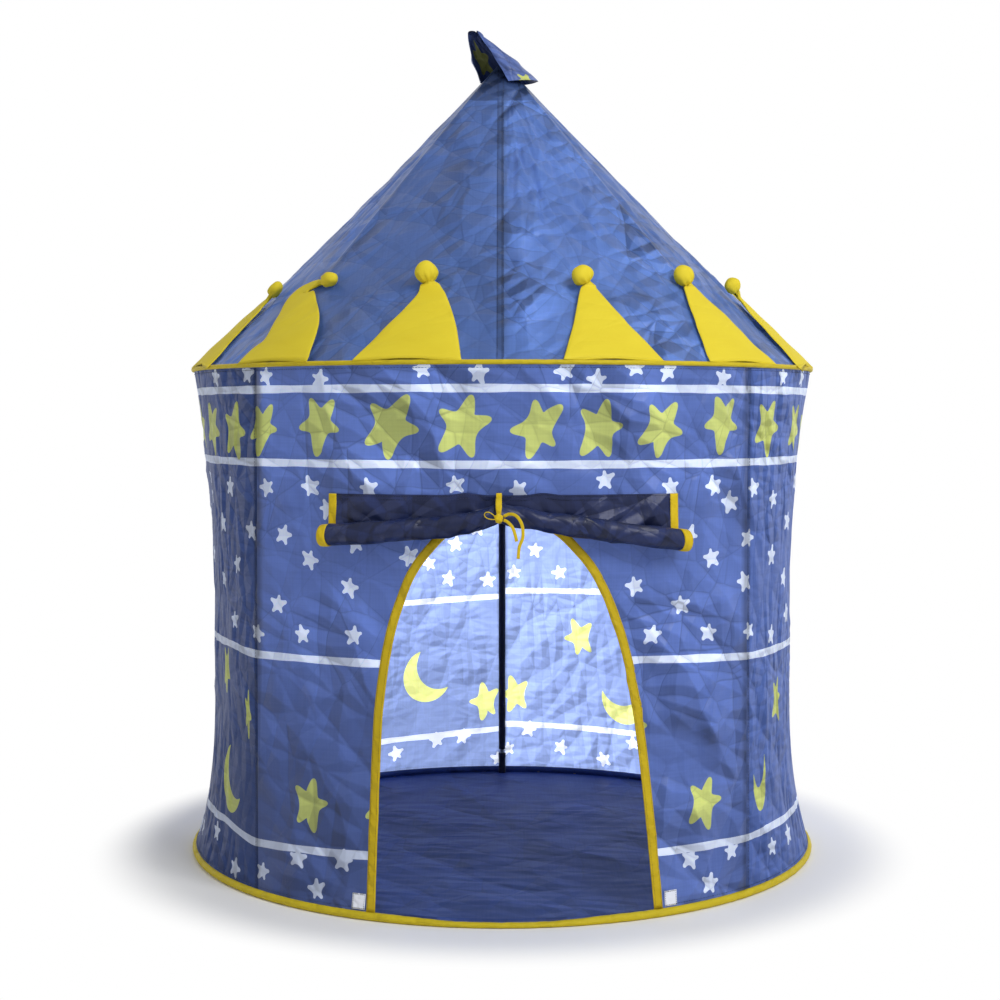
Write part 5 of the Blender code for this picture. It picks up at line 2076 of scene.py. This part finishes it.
@dataclass
class Tie:
    """The tab over the roll, the bow's knot and loops, and its two loose tails."""

    form: TentForm
    door: DoorCloth
    finishes: Wardrobe
    knot: Point = (-0.0047, -0.54165, 0.58396)
    knot_radius: float = 0.0065
    tape_width: float = 0.0046
    tape_squash: float = 0.24
    tab_width: float = 0.0085
    tab_thickness: float = 0.0011
    tab_lift: float = 0.0012
    tab_slack: float = 0.0010
    tab_pinch: float = 0.35
    tab_swing: Flat = degrees(112, -22)
    knot_form: Point = (1.0, 0.72, 1.05)
    knot_share: float = 0.92
    knot_waves: Flat = (0.10, 0.06)
    knot_mesh: tuple[int, int] = (18, 28)
    loop_place: Point = (-0.0118, -0.0005, 0.0028)
    loop_size: Flat = (0.0085, 0.0055)
    loop_tilt: float = math.radians(-24)
    loop_share: float = 0.36
    loop_squash: float = 0.42
    tails: dict[str, tuple[Point, ...]] = field(default_factory=lambda: {
        "tie_tail_long": ((0.0068, 0.0, 0.0024), (0.0150, -0.0035, 0.0060), (0.0245, -0.0070, 0.0035),
                          (0.0320, -0.0090, -0.0080), (0.0335, -0.0090, -0.0250), (0.0285, -0.0080, -0.0400),
                          (0.0270, -0.0070, -0.0560)),
        "tie_tail_short": ((0.0068, 0.0, -0.0024), (0.0125, -0.0030, -0.0052), (0.0190, -0.0055, -0.0125),
                           (0.0225, -0.0065, -0.0215), (0.0250, -0.0060, -0.0320)),
    })

    def tail(self, name: str, route: Sequence[Point]) -> None:
        """One flat tape tail.

        Args:
            name: the CAD node that it stands for.
            route: points from the middle of the knot.
        """
        line = smooth_route(np.array(route) + np.array(self.knot), 8)
        along = unit(np.gradient(line, axis=0))
        broad = unit(np.cross(along, (0.0, 1.0, 0.25)))
        half = np.full(len(line), self.tape_width / 2)
        half[0] *= 0.8
        piece = tube_piece(name + "_tape", line, half, 12, self.finishes.tie, self.tape_squash, broad)
        dress(piece, "door_roll", "binding_yellow", name)

    def loop(self, name: str) -> Object:
        """The loop of the bow.

        Args:
            name: the piece's name.

        Returns:
            The loop.
        """
        size, tilt = self.loop_size, self.loop_tilt
        turn = full_turn(40)
        u, v = size[0] * np.cos(turn), size[1] * np.sin(turn) * (0.75 - 0.25 * np.cos(turn))
        x = u * math.cos(tilt) - v * math.sin(tilt)
        z = u * math.sin(tilt) + v * math.cos(tilt)
        y = 0.0010 * np.sin(turn * 2)
        line = np.array(self.knot) + np.array(self.loop_place) + np.stack([x, y, z], axis=-1)
        broad = np.broadcast_to(np.array((0.0, 1.0, 0.0)), line.shape)
        return tube_piece(
            name, line, self.tape_width * self.loop_share, 10, self.finishes.tie, self.loop_squash, broad,
            cyclic=True)

    def build(self) -> None:
        """Build the tab, the knot, the loop and the tails."""
        form, door, at = self.form, self.door, self.door.tie_angle
        swing = np.linspace(*self.tab_swing, 40)
        base = form.wall_radius(at, door.stitch_height) + door.roll_middle
        reach = door.roll_radius - door.roll_pitch * (math.pi + swing) / math.tau
        reach = reach + form.cloth + form.gap * 2 + self.tab_slack
        out = base + reach * np.cos(swing)
        height = door.roll_height(np.array(at)) + reach * np.sin(swing)
        up = np.linspace(0, 1, 8, endpoint=False)[:, None]
        top_out = form.wall_radius(at, door.stitch_height) + door.flap_out + self.tab_lift
        strap_out = np.concatenate([top_out + (out[0] - top_out) * up[:, 0] ** 2, out])
        strap_height = np.concatenate(
            [door.stitch_height + (height[0] - door.stitch_height) * up[:, 0], height])
        wide = np.linspace(-0.5, 0.5, 5) * self.tab_width
        angle = at + wide / form.crown_radius
        pinch = 1 - self.tab_pinch * smoothstep(0.7, 1.0, np.linspace(0, 1, len(strap_out)))
        angles = at + (angle - at)[None, :] * pinch[:, None]
        points = polar(angles, strap_out[:, None], strap_height[:, None])
        flat = lattice(wide, -run_along(np.stack([strap_out, strap_height], axis=-1)))
        tab = shell_piece("tie_strap", points[::-1], flat[::-1], self.tab_thickness, self.finishes.tie, 0.2)
        dress(tab, "door_roll", "binding_yellow", "tie_tab")
        rows, columns = self.knot_mesh
        lat, lon = np.meshgrid(np.linspace(-math.pi / 2, math.pi / 2, rows)[1:-1], full_turn(columns),
                               indexing="ij")
        wide_wave, fine_wave = self.knot_waves
        wrap = 1 + wide_wave * np.sin(lon * 2 + lat * 5) + fine_wave * np.sin(lon * 5 - lat * 3)
        ball = np.stack(
            [np.cos(lat) * np.cos(lon), np.cos(lat) * np.sin(lon), np.sin(lat)], axis=-1) * self.knot_form
        knot = np.array(self.knot) + ball * wrap[..., None] * self.knot_radius * self.knot_share
        places = np.stack(
            np.meshgrid(np.linspace(0, 0.04, columns + 1), np.linspace(0, 0.02, rows - 2)), axis=-1)
        bow_knot = grid_piece("tie_bow_knot", knot, places, [self.finishes.tie], closed=True, capped=True)
        dress(bow_knot, "door_roll", "binding_yellow", "tie_knot")
        dress(self.loop("tie_bow_loop"), "door_roll", "binding_yellow", "tie_loop")
        for name, route in self.tails.items():
            self.tail(name, route)


@dataclass(frozen=True)
class CrownShape:
    """One crown point along its spine: degrees, distance up the roof, width; then its ball."""

    spine: tuple[Point, ...]
    ball: Point
    ball_radius: float
    ball_length: float = 1.0
    lift: float = 0.0
    level: bool = False


@dataclass
class Crown:
    """Thirteen flat stuffed points lying on the roof, each ending in a gathered ball."""

    form: TentForm
    roof: Roof
    finishes: Wardrobe
    count: int = 13
    first: float = 18.1
    gap: float = 33.3
    base_width: float = 0.160
    sides: int = 28
    stations: int = 46
    ball_rings: int = 12
    seat: float = 0.0026
    thickness: float = 0.0032
    tip_swell: float = 0.9
    edge_bluntness: float = 0.55
    edge_wave: float = 0.0007
    ball_seat: float = 0.9
    pleats: int = 9
    pleat_depth: float = 0.32
    gather_power: float = 1.5
    ball_power: float = 0.85
    ball_bumps: Flat = (0.045, 0.05)
    foot: Flat = (0.028, 0.004)
    fill: Flat = (0.3, 0.45)
    measured: dict[int, CrownShape] = field(default_factory=lambda: {
        1: CrownShape(
            ((17.95, 0.0, 0.154), (18.0, 0.068, 0.0926), (18.05, 0.097, 0.0694), (18.1, 0.147, 0.030),
             (18.4, 0.157, 0.022)), (16.9, 0.170, 0.0), 0.0160, 0.88, 0.0, True),
        2: CrownShape(
            ((44.35, 0.0, 0.163), (44.0, 0.031, 0.132), (44.3, 0.070, 0.104), (44.7, 0.097, 0.086),
             (44.65, 0.134, 0.052), (44.95, 0.161, 0.027)), (43.5, 0.176, 0.0), 0.0148, 1.1, 0.0, True),
        3: CrownShape(
            ((70.5, 0.0, 0.160), (68.6, 0.070, 0.094), (65.5, 0.125, 0.046), (63.2, 0.146, 0.015)),
            (61.0, 0.160, 0.0), 0.0125, 1.0, 0.008),
        10: CrownShape(
            ((-96.9, 0.0, 0.160), (-98.4, 0.075, 0.094), (-101.0, 0.128, 0.048), (-102.8, 0.146, 0.020)),
            (-104.0, 0.160, 0.0), 0.0130, 1.1, 0.001),
        11: CrownShape(
            ((-69.0, 0.0, 0.160), (-67.2, 0.075, 0.092), (-64.0, 0.126, 0.042), (-61.8, 0.142, 0.013)),
            (-59.6, 0.157, 0.0), 0.0098, 1.5, 0.004),
        12: CrownShape(
            ((-41.4, 0.0, 0.157), (-42.0, 0.060, 0.110), (-45.6, 0.112, 0.076), (-48.6, 0.146, 0.055),
             (-47.6, 0.163, 0.028), (-45.0, 0.170, 0.016)), (-40.6, 0.170, 0.0), 0.0108, 1.55),
        13: CrownShape(
            ((-15.25, 0.0, 0.163), (-14.5, 0.0726, 0.104), (-14.3, 0.134, 0.0485), (-15.2, 0.160, 0.030)),
            (-16.2, 0.176, 0.0), 0.0164, 1.0, 0.0, True),
    })

    def shape(self, number: int, angle: float) -> CrownShape:
        """The shape of one point: measured where it is seen, and drawn from its number elsewhere.

        Args:
            number: the point's number.
            angle: its angle in degrees.

        Returns:
            The shape.
        """
        if number in self.measured:
            return self.measured[number]
        rng = random.Random(number)
        lean = rng.uniform(2.0, 5.0) * (-1 if angle > 0 else 1)
        bend = rng.uniform(-1.0, 1.0)
        return CrownShape(((angle, 0.0, self.base_width), (angle + lean * 0.25 + bend, 0.075, 0.094),
                           (angle + lean * 0.7 + bend, 0.132, 0.048), (angle + lean * 0.9, 0.155, 0.022)),
                          (angle + lean, 0.172, 0.0), rng.uniform(0.0135, 0.016), rng.uniform(1.0, 1.25),
                          rng.uniform(0.0, 0.004))

    def surface(self, angle: Array, distance: Array, out: Array) -> Array:
        """Points over the smooth roof at a distance up from the hoop."""
        return self.form.roof(angle, distance / self.form.roof_length, out)

    def point(self, number: int, angle: float) -> None:
        """One stuffed point.

        Args:
            number: its number, as in the CAD node's name.
            angle: its angle in degrees.
        """
        shape = self.shape(number, angle)
        rng = random.Random(number * 7)
        spine = smooth_route(shape.spine, 14)
        pick = np.linspace(0, len(spine) - 1, self.stations)
        at, distance, width = (np.interp(pick, np.arange(len(spine)), column) for column in spine.T)
        at = np.radians(at)
        puff = self.thickness * (1 + self.tip_swell * np.linspace(0, 1, self.stations) ** 3)
        rise = shape.lift * np.linspace(0, 1, self.stations) ** 1.5
        centre = self.surface(at, distance, self.seat + puff / 2 + rise)
        normal = self.form.roof_normal(at)
        along = unit(np.gradient(centre, axis=0))
        across = unit(np.cross(normal, along))
        level = -polar(at + math.pi / 2, 1.0, 0.0)
        across = level if shape.level else np.concatenate([level[:1], across[1:]])
        turn = full_turn(self.sides)
        cos, sin = np.cos(turn), np.sin(turn)
        rows = []
        blunt = np.sign(sin) * np.abs(sin) ** self.edge_bluntness
        for i in range(self.stations):
            half = width[i] / 2
            wave = self.edge_wave * math.sin(i * 0.5 + number) * cos * (width[i] / self.base_width)
            curve = -(np.abs(cos) * half) ** 2 / (2 * self.form.roof_foot_radius) * math.sin(self.form.slope)
            off = curve + blunt * puff[i] / 2 + wave
            rows.append(centre[i] + across[i] * (cos * half)[:, None] + normal[i] * off[:, None])
        ball_at, ball_distance, _ = shape.ball
        ball = self.surface(
            np.radians(ball_at), ball_distance, self.seat + shape.ball_radius * self.ball_seat + shape.lift)
        axis = unit(ball - rows[-1].mean(axis=0))
        ball_across = unit(np.cross(self.form.roof_normal(np.radians(ball_at)), axis))
        ball_out = unit(np.cross(axis, ball_across))
        for k in range(self.ball_rings):
            lat = -math.pi / 2 + math.pi * (k + 1.1) / (self.ball_rings + 1)
            swell = math.cos(lat) ** self.ball_power
            gather = max(0.0, -math.sin(lat)) ** self.gather_power
            pleat = 1 + self.pleat_depth * gather * np.sin(turn * self.pleats + number)
            pleat = pleat + self.ball_bumps[0] * np.sin(turn * 3 + lat * 2 + number)
            pleat = pleat + self.ball_bumps[1] * np.sin(turn * 2 - lat * 3 + number * 2)
            radius = shape.ball_radius * swell * pleat
            place = ball + axis * (shape.ball_radius * math.sin(lat) * shape.ball_length)
            rows.append(place + ball_across * (cos * radius)[:, None] + ball_out * (sin * radius)[:, None])
        rows = np.array(rows)
        run = run_along(rows.mean(axis=1))
        spread = np.linspace(0, 1, self.sides + 1)
        wide = np.concatenate([width, np.full(self.ball_rings, 0.09)])
        places = np.stack(np.broadcast_arrays(spread[None, :] * wide[:, None] * 1.6, run[:, None]), axis=-1)
        piece = grid_piece(
            f"crown_{number:02d}_point", rows, places, [self.finishes.crown], closed=True, capped=True)
        volume = sum(
            np.dot(np.cross(piece.data.vertices[p.vertices[0]].co, piece.data.vertices[p.vertices[1]].co),
                piece.data.vertices[p.vertices[2]].co) for p in piece.data.polygons)
        if volume < 0:
            piece.data.flip_normals()
        bend = (tuple(rows[0].mean(axis=0)), tuple(self.surface(np.radians(shape.spine[0][0]), *self.foot)))
        dress(piece, f"crown_{number:02d}", "crown_yellow", f"crown_point_{number:02d}", bend=bend)
        round(rng.uniform(*self.fill), 2)

    def build(self) -> None:
        """Build every point."""
        pitch = (360 - self.gap) / (self.count - 1)
        for number in range(1, self.count + 1):
            angle = float(np.degrees(turned(math.radians(self.first + pitch * (number - 1)))))
            self.point(number, angle)


@dataclass
class Pennant:
    """The pennant folded over the apex like a cowl, open at the front left."""

    form: TentForm
    finishes: Wardrobe
    tip: Point = (-0.0440, -0.004, 1.3655)
    tip_radius: float = 0.0140
    dome_from: float = 0.84
    front_drop: float = 0.0065
    rim_radius: float = 0.03736
    rim_drop: float = 0.0355
    flare: float = 0.024
    rim_ends: Flat = degrees(14, 282)
    side_rise: float = 0.003
    rear_rise: float = 0.0016
    tip_slant: float = 0.35
    tip_turn: float = 2.4
    dome_turn: float = math.radians(84)
    dome_rise: float = 0.55
    belly: float = 0.004
    wave: float = 0.0012
    wave_length: float = 0.035
    lean_out: float = 0.2
    front_turn: float = 0.2
    wide: float = 0.20
    tall: float = 0.10
    cut_share: float = 0.77
    print_spacing: float = 0.0034

    def place(self, u: Array, v: Array) -> Array:
        """Flat place on the pennant to a point.

        Args:
            u: metres across the pattern.
            v: metres up the pattern.

        Returns:
            Points as rows.
        """
        share, rise = u / self.wide, v / self.tall
        angle = self.rim_ends[0] + (self.rim_ends[1] - self.rim_ends[0]) * share
        reach = self.rim_radius + self.flare * np.maximum(0, np.sin(angle))
        low = self.front_drop * np.maximum(0, np.cos(angle - self.front_turn))
        low = low - self.side_rise * np.maximum(0, np.sin(angle))
        low = low - self.rear_rise * np.maximum(0, -np.cos(angle))
        rim = polar(angle, reach, self.form.apex_height - self.rim_drop - low)
        slant = self.tip_slant * self.tip_radius * np.sin(angle + self.tip_turn)
        top = np.array(self.tip) + polar(angle, self.tip_radius, slant)
        dome = np.clip((rise - self.dome_from) / (1 - self.dome_from), 0, 1) * self.dome_turn
        top = np.array(self.tip) + (top - np.array(self.tip)) * np.cos(dome)[..., None]
        top[..., 2] += self.tip_radius * self.dome_rise * np.sin(dome)
        rise = np.minimum(rise / self.dome_from, 1.0)
        body = rim + (top - rim) * rise[..., None]
        loose = np.sin(math.pi * rise)
        belly = self.belly * loose + self.wave * ripples(31, u, v, self.wave_length) * loose
        upright = degrees(30, 150)
        creases = Creases(91, (
            Sowing(12, (0, self.wide), (0, self.tall), (0.02, 0.06), upright, 0.0016, (0.004, 0.009)),
        )).heights(u, v)
        return body + polar(angle, 1.0, self.lean_out) * (belly + creases * loose)[..., None]

    def build(self) -> None:
        """Build the pennant with its print."""
        us = np.linspace(0, self.wide, 56)
        vs = np.linspace(0, self.tall, 30)
        outline = [*((u, 0.0) for u in us), *((self.wide, v) for v in vs[1:-1]),
                   *((u, self.tall) for u in reversed(us)), *((0.0, v) for v in reversed(vs[1:-1]))]
        motifs = (
            star(Ink.YELLOW, (self.wide * 0.70, 0.046),
                 ((20, 0.036), (92, 0.036), (160, 0.034), (232, 0.036), (305, 0.034)), 0.75),
            star(Ink.YELLOW, (self.wide * 0.125, 0.0),
                 ((-170, 0.012), (-90, 0.012), (-20, 0.012), (50, 0.013), (125, 0.012))))
        sheet = PrintedSheet(tuple(outline), motifs, self.print_spacing)
        piece = sheet.build("apex_pennant", self.place, self.finishes.pennant)
        dress(piece, "pennant", "roof_cloth", "pennant")
        self.wide * self.tall * self.cut_share


@dataclass
class Inside:
    """Floor mat, pole sleeves and pockets, blank patches and the rigid frame."""

    form: TentForm
    relief: WallRelief
    finishes: Wardrobe
    sleeve_radius: float = 0.0066
    pocket_radius: float = 0.0068
    patch_size: Flat = (0.021, 0.022)
    patch_foot: float = 0.0145
    rim_radius: float = 0.0072
    rim_swing: Flat = degrees(200, 112)
    border_share: float = 0.86
    mat_mesh: tuple[int, int] = (90, 240)
    mat_wave: float = 0.0003
    mat_wave_length: float = 0.1
    patch_out: float = 0.0011
    patch_curl: float = 0.0006
    patch_thickness: float = 0.0006
    border_out: float = 0.0016
    sleeve_looseness: float = 0.015

    def mat(self) -> None:
        """The round mat, with low wrinkles across it."""
        low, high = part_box("floor_mat")
        radius = high.x
        rings, columns = self.mat_mesh
        share = np.linspace(0.004, 1, rings)
        around = np.linspace(-math.pi, math.pi, columns, endpoint=False)
        angle, r = np.meshgrid(around, share * radius)
        x, y = r * np.sin(angle), -r * np.cos(angle)
        wrinkle = Creases(17, (
            Sowing(120, (-0.45, 0.45), (-0.5, 0.3), (0.10, 0.34), degrees(-6, 6), 0.0013, (0.004, 0.010)),
            Sowing(24, (-0.5, 0.5), (-0.5, 0.5), (0.06, 0.2), degrees(-40, 40), 0.0008, (0.008, 0.016)),
        )).heights(x, y)
        flatten = smoothstep(0.0, 0.05, radius - r)
        waves = self.mat_wave * (1 + ripples(3, x, y, self.mat_wave_length))
        z = high.z + (np.abs(wrinkle) + waves) * flatten
        points = np.stack([x, y, z], axis=-1)
        flat = points[..., :2]
        rim = []
        for swing in np.linspace(*self.rim_swing, 8):
            reach = self.form.floor_radius + self.rim_radius * math.cos(swing)
            rise = self.form.floor_hem_radius + self.rim_radius * math.sin(swing)
            rim.append(polar(around, reach, rise))
        edge = np.stack([x[-1], y[-1], np.full_like(x[-1], low.z)], axis=-1)
        points = np.concatenate([points, rim, edge[None]])
        out = radius + 0.002 * np.arange(1, 10)[:, None]
        flat = np.concatenate([flat, np.stack([out * np.sin(around), -out * np.cos(around)], axis=-1)])
        flat = np.concatenate([flat, flat[:, :1]], axis=1)
        mat = grid_piece(
            "floor_cloth", points[::-1], flat[::-1], [self.finishes.mat], closed=True, capped=True)
        dress(mat, "tent", "mat_cloth", "floor_mat")

    def sleeves(self) -> None:
        """The cloth sleeves on the wall poles and the pockets at their feet."""
        for side in ("left", "right", "back"):
            low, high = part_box(f"wall_sleeve_{side}")
            middle = (low + high) / 2
            rng = random.Random(side)
            heights = np.linspace(low.z, high.z, 150)
            waves = (np.sin(heights * rng.uniform(30, 160) + rng.uniform(0, 6)) for _ in range(6))
            loose = sum(waves) * self.sleeve_looseness
            foot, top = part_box(f"pole_pocket_{side}")
            for name, node_name, rise, radius in (
                    ("pole_sleeve", "wall_sleeve", heights, self.sleeve_radius * (1.02 + loose)),
                    ("foot_pocket", "pole_pocket", np.linspace(foot.z, top.z, 16),
                     self.pocket_radius * (1.03 + 0.05 * np.sin(np.linspace(0, 9, 16))))):
                line = np.stack([np.full_like(rise, middle.x), np.full_like(rise, middle.y), rise], axis=-1)
                tube = tube_piece(f"{name}_{side}", line, radius, 20, self.finishes.sleeve)
                dress(tube, "tent", "sleeve_navy", f"{node_name}_{side}")

    def patches(self) -> None:
        """The blank patches beside the doorway's feet, with a stitched border."""
        rows = []
        for side in ("left", "right"):
            low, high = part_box(f"patch_{side}")
            middle = (low + high) / 2
            centre = math.atan2(middle.x, -middle.y)
            half = self.patch_size[0] / 2 / self.form.floor_radius
            up, across = np.meshgrid(np.linspace(0, 1, 9), np.linspace(-1, 1, 9), indexing="ij")
            angle = centre + half * across
            height = self.patch_foot + self.patch_size[1] * up
            curl = self.patch_curl * (across * up) ** 2
            points = self.relief.point(angle, height, self.patch_out + curl)
            flat = np.stack([across * self.patch_size[0] / 2, height], axis=-1)
            patch = shell_piece(
                f"blank_patch_{side}", points, flat, self.patch_thickness, self.finishes.patch)
            dress(patch, "tent", "patch_white", f"patch_{side}")
            inset = self.border_share
            ring = [(-1, 0), (1, 0), (1, 1), (-1, 1), (-1, 0)]
            for (a0, u0), (a1, u1) in zip(ring, ring[1:]):
                t = np.linspace(0, 1, 8)
                a = centre + half * inset * (a0 + (a1 - a0) * t)
                u = self.patch_foot + self.patch_size[1] * (0.5 + (u0 + (u1 - u0) * t - 0.5) * inset)
                rows.append(self.relief.point(a, u, self.border_out))
        stitches = Stitching(pitch=0.0030, length=0.0020, thread=0.0003)
        dress(stitches.sew("patch_stitches", rows, self.finishes.navy_thread), "tent", "patch_white")

    def rigid(self) -> None:
        """Finish the CAD nodes that stay as they are."""
        looks = {
            "wall_pole": self.finishes.pole, "roof_pole": self.finishes.pole,
            "pole_ferrule": self.finishes.ferrule, "elbow": self.finishes.fitting,
            "apex_hub": self.finishes.fitting, "floor_hoop_wire": self.finishes.wire,
            "crown_hoop_wire": self.finishes.wire}
        for name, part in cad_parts.items():
            for start, material in looks.items():
                if name.startswith(start):
                    for slot in part.material_slots:
                        slot.material = material
                    log.info("%s: carried over", name)

    def build(self) -> None:
        """Build all of it."""
        self.mat()
        self.sleeves()
        self.patches()
        self.rigid()


@dataclass(frozen=True)
class Lamp:
    """A soft lamp that the camera doesn't see: its place, aim, width and height, and watts."""

    name: str
    place: Point
    aim: Point
    size: Flat
    power: float
    gleams: bool = True

    def build(self) -> None:
        """Set up the lamp."""
        data = bpy.data.lights.new(self.name, "AREA")
        data.shape, data.size, data.size_y, data.energy = "RECTANGLE", *self.size, self.power
        lamp = bpy.data.objects.new(self.name, data)
        lamp.location = self.place
        lamp.rotation_euler = (Vector(self.aim) - Vector(self.place)).to_track_quat("-Z", "Y").to_euler()
        lamp.visible_camera = False
        lamp.visible_glossy = self.gleams
        bpy.context.scene.collection.objects.link(lamp)


@dataclass(frozen=True)
class Studio:
    """Camera at the photograph's place, soft lamps, a white world and a pale floor."""

    camera_place: Point = (0.0, -2.8548, 0.7267)
    camera_dip: float = math.radians(2.904)
    lens: float = 60.0725
    shift: float = -0.0021
    ambient: float = 0.30
    lamps: tuple[Lamp, ...] = (
        Lamp("key", (2.1, -2.9, 3.3), (0.0, 0.0, 0.7), (1.8, 1.8), 115.0),
        Lamp("fill", (-2.6, -2.4, 1.7), (0.0, 0.0, 0.6), (1.6, 2.0), 8.0),
        Lamp("back", (0.0, 2.7, 1.0), (0.0, 0.0, 0.5), (3.2, 2.0), 44.0, False),
        Lamp("rim_left", (-2.3, 1.5, 1.2), (-0.4, 0.0, 0.6), (0.7, 2.2), 5.0),
        Lamp("rim_right", (2.3, 1.5, 1.2), (0.4, 0.0, 0.6), (0.7, 2.2), 5.0))
    shadow_ends: Flat = (0.57, 0.70)
    floor_reach: float = 20.0

    def seen(self, tree: Tree) -> Wire:
        """Whether the camera or a reflection looks."""
        path = node(tree, "ShaderNodeLightPath").outputs
        return Wire(tree, path["Is Camera Ray"]).most(Wire(tree, path["Is Glossy Ray"]))

    def camera(self) -> None:
        """Place the camera."""
        data = bpy.data.cameras.new("camera")
        data.lens, data.sensor_width, data.shift_x = self.lens, 36.0, self.shift
        data.clip_start, data.clip_end = 0.05, 100.0
        camera = bpy.data.objects.new("camera", data)
        camera.location = self.camera_place
        camera.rotation_euler = (math.pi / 2 - self.camera_dip, 0, 0)
        bpy.context.scene.collection.objects.link(camera)
        bpy.context.scene.camera = camera

    def world(self) -> None:
        """White to the camera and in reflections, softer as a light."""
        world = bpy.data.worlds.new("studio")
        bpy.context.scene.world = world
        world.use_nodes = True
        tree = world.node_tree
        tree.nodes.clear()
        through = wire(tree, "ShaderNodeLightPath", output="Is Transmission Ray")
        strength = self.seen(tree).most(through).most(self.ambient)
        white = wire(tree, "ShaderNodeBackground", {"Color": (1, 1, 1), "Strength": strength})
        node(tree, "ShaderNodeOutputWorld", {"Surface": white})

    def floor(self) -> None:
        """Pale floor that keeps the tent's shadow and turns white away from it."""

        def surface(tree: Tree) -> Wire:
            """Pale near the tent and white away from it."""
            far = wire(tree, "ShaderNodeTexCoord", output="Object").vector("LENGTH", output=1)
            face = wire(tree, "ShaderNodeBsdfPrincipled", {"Base Color": (0.9, 0.9, 0.9), "Roughness": 0.9})
            light = wire(tree, "ShaderNodeEmission", {"Color": (1, 1, 1), "Strength": 1.0})
            share = far.ramp(*self.shadow_ends) * self.seen(tree)
            return wire(tree, "ShaderNodeMixShader", {0: share, 1: face, 2: light})

        mesh = bpy.data.meshes.new("studio_floor")
        reach = self.floor_reach
        mesh.from_pydata(
            [(-reach, -reach, 0), (reach, -reach, 0), (reach, reach, 0), (-reach, reach, 0)], [],
            [(0, 1, 2, 3)])
        mesh.materials.append(new_material("studio_floor", surface))
        linked("studio_floor", mesh)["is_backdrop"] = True

    def build(self) -> None:
        """Set up the studio."""
        bpy.context.scene.view_settings.view_transform = "Standard"
        self.camera()
        self.world()
        for lamp in self.lamps:
            lamp.build()
        self.floor()


def as_list(box: tuple[Vector, Vector]) -> list[list[float]]:
    """A box's corners as plain numbers."""
    return [[float(value) for value in corner] for corner in box]


def main(cad_box: list[list[float]]) -> None:
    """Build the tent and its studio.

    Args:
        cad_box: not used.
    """
    logging.basicConfig(level=logging.INFO, format="%(message)s")
    form = TentForm.from_frame()
    finishes = Wardrobe(form)
    relief = WallRelief(form)
    door = DoorCloth(form, finishes)
    roof = Roof(form, finishes)
    Studio().build()
    Tie(form, door, finishes).build()
    door.build()
    Walls(form, relief, finishes).build()
    roof.build()
    Hems(form, relief, finishes).build()
    Crown(form, roof, finishes).build()
    Pennant(form, finishes).build()
    Inside(form, relief, finishes).build()


if __name__ == "__main__":
    main(as_list(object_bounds()))
